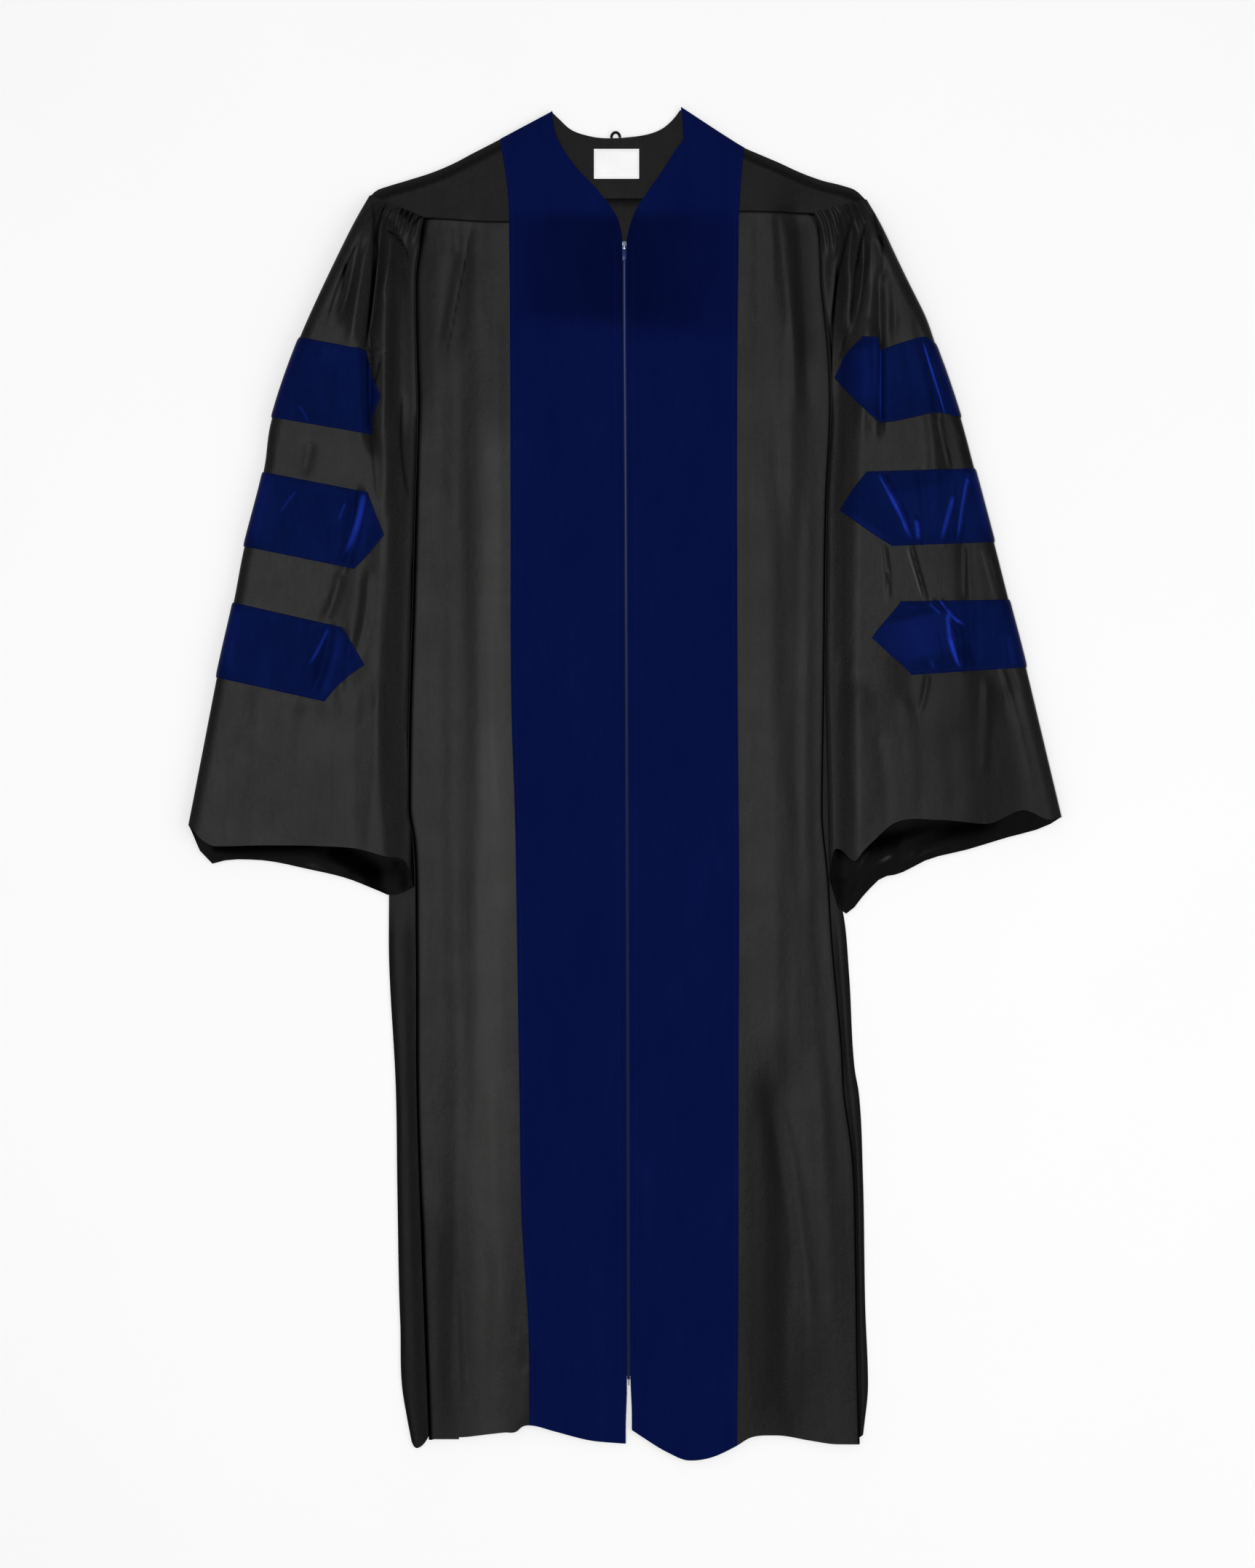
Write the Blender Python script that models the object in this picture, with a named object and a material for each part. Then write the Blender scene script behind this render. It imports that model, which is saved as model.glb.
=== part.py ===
"""A doctoral gown laid flat on its back, with velvet front bands and velvet bars on bell sleeves.

Sizes are in millimetres until a mesh is made. x runs across, and drop runs down from the neck point.
"""
import math
from collections import namedtuple

import bmesh
import bpy
import numpy as np
from mathutils import Matrix

MM = 0.001
LENGTH = 1381.7
CENTRE_DROP = LENGTH / 2

# Colour, roughness and metallic value of each stuff.
BLACK = ((0.018, 0.018, 0.019), 0.8)
VELVET = ((0.004, 0.012, 0.16), 0.9)
ZIP_BLUE = ((0.18, 0.28, 0.62), 0.5)
METAL_BLUE = ((0.05, 0.09, 0.3), 0.35, 0.7)
LABEL_WHITE = ((0.85, 0.85, 0.85), 0.7)

CLOTH = 1.2
GAP = 0.3
SEAM_GAP = 0.8
HALF = CLOTH / 2
BACK_MIDDLE = HALF
UNDER_MIDDLE = CLOTH + GAP + HALF
SLEEVE_LOW = CLOTH + 2 * GAP + HALF
FRONT_LOW = 2.4
FRONT_MIDDLE = FRONT_LOW + HALF
VELVET_LOW = HALF + GAP
VELVET_HIGH = VELVET_LOW + CLOTH

ROLL_RADIUS = 2.1
ROLL_TOP = UNDER_MIDDLE + 2 * ROLL_RADIUS
TURN_UNDER = 28.0
PLATEAU = 1.4
PLATEAU_WIDTH = 90.0
ROLL_RAMP = 30.0
LEAST_OVER_TURN = UNDER_MIDDLE + CLOTH + 0.6
SHOULDER_EASE = 14.0
SHOULDER_START = 0.12
PLATEAU_START = 20.0
CREASES_END = 22.0
HEM_SWAY_TOP = 1150.0

ZIP_SLOT = 1.9
ZIP_TOP = 139.0
SLIT_TOP = 1309.0
SLIT_OPENING = 1.2
SLIT_EASE = 40.0
TEETH_FOOT = 4.0
HEM_MEAN = 1364.0

SLEEVE_INSET = 1.5
FOLD_ROUND = 11.0
INNER_ROUND = 4.0
INNER_EDGE_TOP = 6.6
INNER_FALL = 34.0
FOLDS_START = 30.0
UNDERARM_ROW = 3.0
HEAD_PLEATS = 4
HEAD_PLEAT_HEIGHT = 1.7
HEAD_PLEAT_END = 0.7
HEAD_PLEAT_EASE = 0.4
HEAD_PLEAT_EDGE = 0.02
CLOSING = 0.5

Side = namedtuple("Side", (
    "name", "sign", "neck", "shoulder", "seam", "velvet", "fold", "side", "hem",
    "stations", "ends", "front_hem", "back_hem",
))
Station = namedtuple("Station", "outer_x outer_drop inner_drop top bar")
Crease = namedtuple("Crease", "x0 drop0 x1 drop1 bow depth half_width")

# The middle line of the zip leans a little to the right on its way down: drop and x.
ZIP_LINE = ((0, -0.7), (142, -0.7), (411, 0.7), (1005, 3.0), (1309, 3.7), (1383, 3.9))

# Outlines of the left half: drop against distance from the middle.
LEFT_NECK = ((5, 74.2), (24, 72.0), (36, 67.5), (59, 52.7), (88, 26.0), (113, 8.2), (127, 4.1), (139, 2.6))
LEFT_SHOULDER = (
    (74, 5.2), (127, 33.5), (157, 49), (174, 58), (195, 67), (222, 75.7), (244, 82.4), (254, 86.3), (259.5, 91.5),
)
LEFT_SEAM = ((0, 118.5), (123, 118.5), (203, 114.3))
LEFT_VELVET = (
    (36, 127), (88, 119.5), (148, 118), (411, 116.5), (609, 115.8), (728, 112), (847, 110),
    (1005, 107.6), (1136, 105.4), (1185, 102.4), (1247, 98.7), (1364, 97.5),
)
LEFT_FOLD = (
    (114, 202.6), (128, 206), (181, 213), (248, 212.2), (307, 210.7), (411, 213.3), (507, 215.9),
    (626, 219.6), (715, 220.4), (752, 215.2), (849, 213), (1005, 212.2), (1109, 209.2), (1250, 204.1),
    (1364, 199.6),
)
LEFT_SIDE = (
    (114, 210), (181, 218), (248, 222), (340, 232), (411, 238), (803, 241), (850, 241), (1005, 233.7),
    (1109, 232.2), (1250, 229.3), (1346, 224), (1370, 215),
)
LEFT_HEM = (
    (0, 1365), (36, 1361.5), (71, 1352.6), (98, 1346), (105, 1347.4), (111, 1352.6), (123, 1353.4),
    (161, 1357.9), (200, 1361.6), (206, 1366), (213, 1369.7), (224, 1346),
)

# Outlines of the right half.
RIGHT_NECK = (
    (1, 57.1), (15, 58.6), (33, 59.4), (43, 52.7), (63, 40.1), (88, 22.3), (109, 9.6), (128, 3.4), (139, 1.2),
)
RIGHT_SHOULDER = (
    (57, 0.7), (103, 31), (121, 42), (137, 49), (158, 58), (177, 66.8), (201, 75.7), (222, 81), (236, 86.3),
    (245.5, 95.5),
)
RIGHT_SEAM = ((0, 107.6), (124, 107.6), (188, 109.8))
RIGHT_VELVET = (
    (45, 121), (95, 117.2), (148, 115.8), (411, 114.3), (609, 115), (807, 116.5), (1005, 115.8),
    (1178, 115.8), (1364, 114.3),
)
RIGHT_FOLD = (
    (109, 188), (119, 194), (136, 198), (181, 200.3), (248, 207), (302, 209.2), (411, 204.8),
    (597, 202.6), (720, 201.1), (787, 207), (847, 210.7), (965, 221.1), (1005, 223.3), (1074, 232.2),
    (1178, 235.2), (1316, 237.4), (1364, 238.9),
)
RIGHT_SIDE = (
    (109, 197), (181, 206), (248, 211), (302, 212.5), (340, 212), (411, 213), (790, 214), (823, 222.6), (886, 228.5),
    (985, 234.5), (1005, 238.2), (1094, 242.6), (1227, 244.9), (1317, 247.8), (1365, 242.6),
)
RIGHT_HEM = (
    (4, 1349), (7, 1351), (19, 1359), (43, 1373.5), (66, 1382), (88, 1378.6), (114, 1366.8), (128, 1358.6),
    (154, 1356.4), (188, 1361.6), (217, 1365.3), (243, 1365.3), (248, 1351),
)

# The back neck and the back hem: x against drop.
BACK_NECK = (
    (-74, 6), (-67.5, 12), (-56.4, 22.3), (-36.4, 29.7), (-17, 31.9), (0, 31.2), (27.5, 26.7), (40, 20.8),
    (50.5, 11), (57, 2),
)
BACK_SEAM = ((-206, 114.3), (-120, 104), (-26, 93.5), (20, 93.5), (110, 100), (193, 109.8))
BACK_HEM = (
    (-224, 1346), (-213, 1369.5), (-203, 1362), (-180, 1310), (-120, 1296), (0, 1296), (150, 1296),
    (210, 1312), (236, 1360), (248, 1351),
)

# Lines across each sleeve from its outer fold to its inner edge, with the height of its top.
# The bars lie between the lines numbered 2 and 3, 4 and 5, and 6 and 7.
LEFT_STATIONS = (
    Station(261.5, 93.4, 115.4, 9.5, 0.52),
    Station(285.7, 136.5, 168.0, 19.0, 0.52),
    Station(332.4, 236.7, 259.0, 17.0, 0.62),
    Station(360.6, 318.3, 343.5, 16.0, 0.66),
    Station(369.5, 374.0, 403.6, 16.0, 0.70),
    Station(388.8, 449.7, 484.5, 15.5, 0.70),
    Station(399.9, 506.8, 547.6, 15.5, 0.62),
    Station(417.0, 583.2, 626.2, 15.5, 0.60),
    Station(446.0, 727.0, 796.0, 15.0, 0.60),
)
RIGHT_STATIONS = (
    Station(247.4, 97.5, 111.0, 9.5, 0.52),
    Station(269.4, 137.0, 182.0, 19.0, 0.52),
    Station(317.0, 244.0, 240.0, 17.5, 0.70),
    Station(342.8, 320.5, 325.0, 16.5, 0.74),
    Station(356.9, 370.3, 374.7, 16.5, 0.74),
    Station(376.9, 445.2, 451.9, 16.0, 0.74),
    Station(391.8, 503.8, 506.8, 15.5, 0.66),
    Station(409.6, 572.8, 586.2, 15.5, 0.66),
    Station(446.0, 724.0, 790.0, 15.0, 0.60),
)

# Distance from the middle to each bar's pointed end, at its top, quarter, half, three quarters and foot.
LEFT_BAR_ENDS = ((264, 258, 248, 257, 258), (262, 254, 245, 260, 276), (288, 276, 265, 286, 306))
RIGHT_BAR_ENDS = ((242, 225, 214, 238, 259), (246, 232, 219, 245, 272), (282, 266, 251, 272, 292))

# The sleeve mouths: distance from the middle against drop, for the front layer and the back layer.
LEFT_FRONT_HEM = (
    (216, 796), (221, 776), (230, 767), (240, 766), (272, 757.6), (304, 755), (365, 754), (416, 755),
    (432, 747), (446, 730),
)
LEFT_BACK_HEM = (
    (216, 796), (228, 803.5), (240, 805), (252, 800.4), (284, 787.8), (325, 778.1), (365, 770),
    (403, 768.5), (420, 773), (431, 765), (446, 730),
)
RIGHT_FRONT_HEM = (
    (209, 790), (212, 764), (218, 758), (234, 770), (242, 760.5), (254.5, 748), (275, 731), (318, 728),
    (368, 732), (406, 718.3), (433, 728), (446.5, 724),
)
RIGHT_BACK_HEM = (
    (209, 790), (215, 813), (226, 824), (242, 807), (261, 788), (280, 783), (309.4, 768.5),
    (347.3, 759), (388.8, 746.5), (432, 733.5), (446.5, 724),
)

LEFT = Side(
    "left", -1, LEFT_NECK, LEFT_SHOULDER, LEFT_SEAM, LEFT_VELVET, LEFT_FOLD, LEFT_SIDE, LEFT_HEM,
    LEFT_STATIONS, LEFT_BAR_ENDS, LEFT_FRONT_HEM, LEFT_BACK_HEM,
)
RIGHT = Side(
    "right", 1, RIGHT_NECK, RIGHT_SHOULDER, RIGHT_SEAM, RIGHT_VELVET, RIGHT_FOLD, RIGHT_SIDE, RIGHT_HEM,
    RIGHT_STATIONS, RIGHT_BAR_ENDS, RIGHT_FRONT_HEM, RIGHT_BACK_HEM,
)

# Folds in the front panels, and gathers and folds in the sleeves. A negative depth is a trough.
FRONT_CREASES = (
    Crease(-158, 122, -184, 250, 0, -1.6, 7),
    Crease(-185, 120, -190, 420, 0, 0.9, 12),
    Crease(-150, 180, -150, 900, 0, 1.3, 16),
    Crease(-135, 1000, -122, 1290, 0, 1.2, 12),
    Crease(-165, 900, -170, 1300, 0, -1.2, 14),
    Crease(157, 112, 170, 232, 0, 1.4, 6),
    Crease(174, 112, 186, 300, 0, -1.8, 10),
    Crease(140, 300, 150, 1000, 0, 1.2, 14),
    Crease(178, 300, 172, 900, 0, -1.2, 12),
    Crease(147, 1010, 188, 1250, 8, -2.2, 12),
    Crease(200, 1000, 216, 1340, 0, 1.2, 12),
    Crease(-60, 200, -55, 1250, 0, 0.8, 30),
    Crease(60, 250, 62, 1200, 0, 0.8, 30),
    Crease(90, 1180, 80, 1378, 0, 1.6, 18),
)
SLEEVE_CREASES = (
    Crease(-272, 118, -289, 214, 3, -5.0, 6),
    Crease(-250, 106, -264, 250, 4, -6.0, 6),
    Crease(-264, 250, -256, 350, -3, -3.5, 6),
    Crease(-244, 112, -226, 156, 6, -4.0, 5),
    Crease(-231, 190, -229, 330, 0, -5.0, 10),
    Crease(-262, 112, -278, 240, 0, 2.6, 6),
    Crease(-238, 160, -245, 330, 0, 2.6, 7),
    Crease(-262, 420, -284, 590, 0, -2.6, 14),
    Crease(-300, 600, -284, 740, 0, -2.4, 14),
    Crease(-330, 620, -350, 750, 0, 2.2, 16),
    Crease(-380, 660, -395, 752, 0, -2.0, 14),
    Crease(-252, 640, -250, 770, 0, 2.4, 14),
    Crease(217, 116, 208, 236, 3, -5.5, 5.5),
    Crease(243, 118, 233, 226, 4, -6.0, 6),
    Crease(259, 142, 262, 176, 4, -4.5, 5),
    Crease(230, 112, 224, 236, 0, 2.6, 6),
    Crease(259, 180, 259, 325, 0, -3.2, 5),
    Crease(248, 226, 240, 330, 0, 2.0, 7),
    Crease(296, 240, 316, 420, 6, 1.8, 7),
    Crease(330, 330, 352, 560, 4, -1.8, 8),
    Crease(290, 560, 300, 728, 0, -2.6, 18),
    Crease(345, 560, 352, 735, 0, 2.4, 18),
    Crease(392, 600, 408, 722, 0, -2.2, 14),
    Crease(236, 600, 240, 748, 0, 2.6, 15),
)

FRONT_ROWS = (
    118, 128, 140, 165, 195, 230, 270, 330, 411, 507, 626, 715, 752, 790, 849, 930, 1005, 1109, 1200,
    1270, 1309, 1364,
)
BACK_ROWS = (100, 150, 200, 260, 340, 411, 600, 790, 830, 930, 1005, 1109, 1200, 1270, 1320, 1364)
BACK_COLUMNS = 6
# The back's folded side edge, outside the front: share of the way in from its edge, and its rise.
STRIP_FOLD = ((0, 0), (0.15, 1.5), (0.45, 2.0), (0.8, 0.6), (1, 0))
STRIP_START = 800.0
STRIP_EASE = 60.0
BACK_TOPS = (
    -222, -195, -174, -150, -127, -100, -76, -62, -50, -36, -17, 2, 22, 36, 46, 56, 80, 103, 121, 145, 172,
    201, 220,
)
BACK_YOKE_ROWS = (0, 0.3, 0.65, 1)
YOKE_ROWS = (0, 0.12, 0.3, 0.55, 0.8, 1)
VELVET_COLUMNS = 4
FRONT_COLUMNS = 9
ROLL_ANGLES = (50, 10, -30, -90)

SLEEVE_ROWS = (
    0, 0.12, 0.26, 0.44, 0.7, 1, 1.25, 1.5, 1.75, 2, 2.25, 2.5, 2.75, 3, 3.5, 4, 4.25, 4.5, 4.75, 5, 5.5,
    6, 6.25, 6.5, 6.75, 7, 7.25, 7.5, 7.72, 7.88, 8,
)
INNER_COLUMNS = 8
BAR_COLUMNS = 8
ROUND_COLUMNS = 3
LOWER_ROUND_COLUMNS = 2
LOWER_COLUMNS = 2

ZIP_HALF_WIDTH = 1.3
TEETH_HEIGHT = 2.0
TEETH_MIDDLE = FRONT_LOW + 1.2
SLIDER_DROP = 142.5
SLIDER_LENGTH = 9.0
SLIDER_WIDTH = 4.6
SLIDER_PLATE = 0.8
SLIDER_BASE = 0.6
SLIDER_TOP = 6.3
POST_WIDTH = 1.2
POST_TOP = 0.3
POST_FOOT = 2.4
BRIDGE_WIDTH = 1.4
BRIDGE_LENGTH = 4.6
BRIDGE_FOOT = 0.8
BRIDGE_ROOM = 1.6
PIN_RADIUS = 0.5
PULL_LENGTH = 15.0
PULL_WIDTH = 4.4
PULL_THICKNESS = 0.9
PULL_ARM = 0.9
PULL_EYE = 3.2
PIN_INSET = 0.05
BLOCK_OVERLAP = 0.2
PIVOT_HEIGHT = SLIDER_TOP + GAP + PIN_RADIUS

LABEL_WIDTH = 46.0
LABEL_DEPTH = 30.4
LABEL_X = -8.6
LABEL_DROP = 43.0
LABEL_THICKNESS = 1.0
LABEL_CORNER = 2.5
LOOP_X = -9.6
LOOP_WIDTH = 8.6
LOOP_RISE = 5.2
LOOP_RADIUS = 1.1
LOOP_GAP = 0.6
LOOP_POINTS = 8


def curve(points):
    """Gives a smooth function through a table's points, with no overshoot between them."""
    xs = np.array([p[0] for p in points], float)
    ys = np.array([p[1] for p in points], float)
    steps = np.diff(ys) / np.diff(xs)
    slopes = np.concatenate([[steps[0]], (steps[1:] + steps[:-1]) / 2, [steps[-1]]])
    for i in range(1, len(xs) - 1):
        if steps[i - 1] * steps[i] <= 0:
            slopes[i] = 0

    def at(x):
        x = min(max(x, xs[0]), xs[-1])
        i = min(max(int(np.searchsorted(xs, x)) - 1, 0), len(xs) - 2)
        h = xs[i + 1] - xs[i]
        t = (x - xs[i]) / h
        start = ys[i] * (1 + 2 * t) * (1 - t) ** 2 + slopes[i] * h * t * (1 - t) ** 2
        return start + ys[i + 1] * t * t * (3 - 2 * t) + slopes[i + 1] * h * t * t * (t - 1)

    return at


def ease(t):
    """Rises smoothly from 0 to 1."""
    t = min(max(t, 0.0), 1.0)
    return t * t * (3 - 2 * t)


def crease_height(creases, x, drop):
    """Adds up the troughs and ridges that pass near a point."""
    total = 0.0
    for c in creases:
        along_x, along_drop = c.x1 - c.x0, c.drop1 - c.drop0
        length = math.hypot(along_x, along_drop)
        t = ((x - c.x0) * along_x + (drop - c.drop0) * along_drop) / length**2
        side = ((x - c.x0) * along_drop - (drop - c.drop0) * along_x) / length
        side -= c.bow * 4 * t * (1 - t)
        fade = ease(t / 0.2 + 0.6) * ease((1.15 - t) / 0.35)
        total += c.depth * fade * math.exp(-((side / c.half_width) ** 2))
    return total


def normals(points):
    """Works out the outward direction at each point of a grid."""
    along = np.gradient(points, axis=0)
    across = np.gradient(points, axis=1)
    out = np.cross(across, along)
    return out / np.linalg.norm(out, axis=2, keepdims=True)


def to_metres(point):
    return (point[0] * MM, (CENTRE_DROP - point[1]) * MM, point[2] * MM)


def material(name, colour, roughness, metallic=0.0):
    made = bpy.data.materials.new(name)
    made.use_nodes = True
    shader = made.node_tree.nodes["Principled BSDF"]
    shader.inputs["Base Color"].default_value = (*colour, 1)
    shader.inputs["Roughness"].default_value = roughness
    shader.inputs["Metallic"].default_value = metallic
    return made


def finish(name, bm, look):
    """Turns a bmesh into a named object with its own material."""
    bmesh.ops.recalc_face_normals(bm, faces=bm.faces)
    mesh = bpy.data.meshes.new(name)
    bm.to_mesh(mesh)
    bm.free()
    item = bpy.data.objects.new(name, mesh)
    bpy.context.collection.objects.link(item)
    mesh.materials.append(material(name, *look))
    return item


def wall(name, points, out, low, high, look, closed_from=None):
    """Makes a cloth wall between two offsets from a grid, joined into a tube from a given row on."""
    rows, columns = points.shape[:2]
    bm = bmesh.new()
    bmesh.ops.create_grid(bm, x_segments=columns - 1, y_segments=rows - 1, size=1)
    bm.verts.ensure_lookup_table()
    place = bm.verts.layers.int.new("place")
    for i, vert in enumerate(bm.verts):
        vert[place] = i
        vert.co = to_metres((points + out * low).reshape(-1, 3)[i])
    bmesh.ops.triangulate(bm, faces=bm.faces, quad_method="FIXED")
    if closed_from is not None:
        bm.verts.ensure_lookup_table()
        last = columns - 1
        pairs = {bm.verts[r * columns + last]: bm.verts[r * columns] for r in range(closed_from, rows)}
        bmesh.ops.weld_verts(bm, targetmap=pairs)
    raised = bmesh.ops.extrude_face_region(bm, geom=bm.faces[:])["geom"]
    outer = (points + out * high).reshape(-1, 3)
    for vert in raised:
        if isinstance(vert, bmesh.types.BMVert):
            vert.co = to_metres(outer[vert[place]])
    return finish(name, bm, look)


def zip_x(drop):
    return curve(ZIP_LINE)(drop)


def inner_edge(side, drop):
    """The front edge: along the V of the neck, then beside the zip, then along the slit."""
    if drop <= ZIP_TOP:
        return side.sign * max(curve(side.neck)(drop), side.sign * (zip_x(drop) + side.sign * ZIP_SLOT))
    opening = ZIP_SLOT + SLIT_OPENING * ease((drop - SLIT_TOP) / SLIT_EASE)
    return zip_x(drop) + side.sign * opening


def front_middle(side, x, drop, from_shoulder):
    """Height of the middle of the front layer's cloth."""
    fold = curve(side.fold)(max(drop, side.fold[0][0]))
    top_start = fold - ROLL_RADIUS - ROLL_RAMP
    lifted = FRONT_MIDDLE + PLATEAU * ease((abs(x) - PLATEAU_START) / PLATEAU_WIDTH)
    lifted += (ROLL_TOP - FRONT_MIDDLE - PLATEAU) * ease((abs(x) - top_start) / ROLL_RAMP)
    lifted += crease_height(FRONT_CREASES, x, drop) * ease((fold - abs(x)) / CREASES_END)
    least = LEAST_OVER_TURN if abs(x) > top_start - 4 else FRONT_MIDDLE
    lifted = max(lifted, least)
    return UNDER_MIDDLE + (lifted - UNDER_MIDDLE) * ease(SHOULDER_START + from_shoulder / SHOULDER_EASE)


def patch(top, bottom, left, right, f, t):
    """A point inside four edges, each given as a function from 0 to 1."""
    point = (1 - t) * top(f) + t * bottom(f) + (1 - f) * left(t) + f * right(t)
    corners = (1 - f) * ((1 - t) * left(0) + t * left(1)) + f * ((1 - t) * right(0) + t * right(1))
    return point - corners


def yoke_rows(side):
    """Rows of plan points from the shoulder line to the yoke seam."""
    neck, velvet = curve(side.neck), curve(side.velvet)
    shoulder, seam = curve(side.shoulder), curve(side.seam)
    tip_x, tip_drop = side.shoulder[0]
    end_x, end_drop = side.shoulder[-1]
    band_x = side.velvet[0][1]
    seam_neck = side.seam[0][1]
    corner_x, corner_drop = side.seam[-1]
    band_seam_x = velvet(seam(120))

    def neck_edge(t):
        drop = tip_drop + (seam_neck - tip_drop) * t
        return np.array([abs(inner_edge(side, drop)), drop])

    def band_edge(t):
        drop = shoulder(band_x) + (seam(band_seam_x) - shoulder(band_x)) * t
        return np.array([velvet(drop), drop])

    def shoulder_line(x0, x1):
        return lambda f: np.array([x0 + (x1 - x0) * f, shoulder(x0 + (x1 - x0) * f)])

    def seam_line(x0, x1):
        return lambda f: np.array([x0 + (x1 - x0) * f, seam(x0 + (x1 - x0) * f)])

    def arm_edge(t):
        return np.array([end_x + (corner_x - end_x) * t, end_drop + (corner_drop - end_drop) * t])

    inner_x = neck_edge(1)[0]
    band_top_x = velvet(shoulder(band_x))
    band_top, band_foot = shoulder_line(neck_edge(0)[0], band_top_x), seam_line(inner_x, band_seam_x)
    under_band = (band_top, band_foot, neck_edge, band_edge)
    outside = (shoulder_line(band_top_x, end_x), seam_line(band_seam_x, corner_x), band_edge, arm_edge)
    rows = []
    for t in YOKE_ROWS:
        row = [patch(*under_band, k / VELVET_COLUMNS, t) for k in range(VELVET_COLUMNS)]
        row += [patch(*outside, k / FRONT_COLUMNS, t) for k in range(FRONT_COLUMNS + 1)]
        rows.append([(side.sign * p[0], p[1] - GAP) for p in row])
    return rows


def panel_rows(side):
    """Rows of plan points from the yoke seam to the hem."""
    velvet, fold = curve(side.velvet), curve(side.fold)
    seam, hem = curve(side.seam), curve(side.hem)
    rows = []
    for i, drop in enumerate(FRONT_ROWS):
        level = side.seam[-1][1] if i == 0 else drop
        start, band = inner_edge(side, level), side.sign * velvet(level)
        end = side.sign * (fold(level) - ROLL_RADIUS)
        xs = [start + (band - start) * k / VELVET_COLUMNS for k in range(VELVET_COLUMNS)]
        xs += [band + (end - band) * k / FRONT_COLUMNS for k in range(FRONT_COLUMNS + 1)]
        sink = ease((drop - HEM_SWAY_TOP) / (HEM_MEAN - HEM_SWAY_TOP)) ** 2
        row = []
        for x in xs:
            here = seam(abs(x)) + GAP / 2 if i == 0 else drop + sink * (hem(abs(x)) - HEM_MEAN)
            row.append((x, here))
        rows.append(row)
    return rows


def front(side):
    """Makes a front half: its yoke, its panel with a turned-under side fold, and its velvet band."""
    yoke, panel = yoke_rows(side), panel_rows(side)
    shoulder = curve(side.shoulder)
    grid = []
    for row in yoke + panel:
        line = []
        for x, drop in row:
            away = drop - shoulder(abs(x)) if abs(x) >= side.shoulder[0][0] else SHOULDER_EASE
            line.append((x, drop, front_middle(side, x, drop, away)))
        grid.append(line)
    body = np.array(grid)
    out = normals(body) * side.sign
    split = len(yoke)
    wall(f"front_yoke_{side.name}", body[:split], out[:split], -HALF, HALF, BLACK)
    band = VELVET_COLUMNS + 1
    wall(f"velvet_front_{side.name}", body[:, :band], out[:, :band], VELVET_LOW, VELVET_HIGH, VELVET)

    rolled = []
    for line in body[split:]:
        x, drop, top = line[-1]
        middle = (top + UNDER_MIDDLE) / 2
        radius = (top - UNDER_MIDDLE) / 2
        roll = []
        for angle in ROLL_ANGLES:
            turn = math.radians(angle)
            roll_x = x + side.sign * ROLL_RADIUS * math.cos(turn)
            roll.append((roll_x, drop, middle + radius * math.sin(turn)))
        roll.append((x - side.sign * TURN_UNDER, drop, UNDER_MIDDLE))
        rolled.append([tuple(p) for p in line] + roll)
    rolled = np.array(rolled)
    rolled_out = normals(rolled) * side.sign
    kept = body.shape[1] - 1
    rolled_out[:, :kept] = out[split:, :kept]
    wall(f"front_panel_{side.name}", rolled, rolled_out, -HALF, HALF, BLACK)


def back():
    """Makes the back yoke and the back panel, which lie on the floor."""
    neck, seam, hem = curve(BACK_NECK), curve(BACK_SEAM), curve(BACK_HEM)
    left_end, right_end = -LEFT.shoulder[-1][0], RIGHT.shoulder[-1][0]
    tops = [left_end, *BACK_TOPS, right_end]
    seam_left, seam_right = BACK_SEAM[0][0], BACK_SEAM[-1][0]
    rows = []
    for t in BACK_YOKE_ROWS:
        row = []
        for x in tops:
            side = LEFT if x < 0 else RIGHT
            on_neck = BACK_NECK[0][0] < x < BACK_NECK[-1][0]
            top = neck(x) if on_neck else curve(side.shoulder)(abs(x))
            share = (x - left_end) / (right_end - left_end)
            foot_x = seam_left + (seam_right - seam_left) * share
            drop = top + (seam(foot_x) - GAP / 2 - top) * t
            row.append((x + (foot_x - x) * t, drop, BACK_MIDDLE))
        rows.append(row)
    points = np.array(rows)
    wall("back_yoke", points, normals(points), -HALF, HALF, BLACK)

    side_line, fold_line = {}, {}
    for side in (LEFT, RIGHT):
        side_line[side.name], fold_line[side.name] = curve(side.side), curve(side.fold)
    rows = []
    for i, drop in enumerate(BACK_ROWS):
        strip = []
        for side in (LEFT, RIGHT):
            level = max(drop, side.side[0][0])
            edge, fold = side_line[side.name](level), fold_line[side.name](level)
            strip.append([(side.sign * (edge + (fold - edge) * share), rise) for share, rise in STRIP_FOLD])
        left, right = strip[0], strip[1][::-1]
        start, end = left[-1][0], right[0][0]
        middle = [(start + (end - start) * k / BACK_COLUMNS, 0) for k in range(1, BACK_COLUMNS)]
        row = []
        for x, rise in left + middle + right:
            sink = ease((drop - HEM_SWAY_TOP) / (HEM_MEAN - HEM_SWAY_TOP))
            here = seam(x) + SEAM_GAP if i == 0 else drop + sink * (hem(x) - HEM_MEAN)
            row.append((x, here, BACK_MIDDLE + rise * ease((drop - STRIP_START) / STRIP_EASE)))
        rows.append(row)
    points = np.array(rows)
    wall("back_panel", points, normals(points), -HALF, HALF, BLACK)


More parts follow.
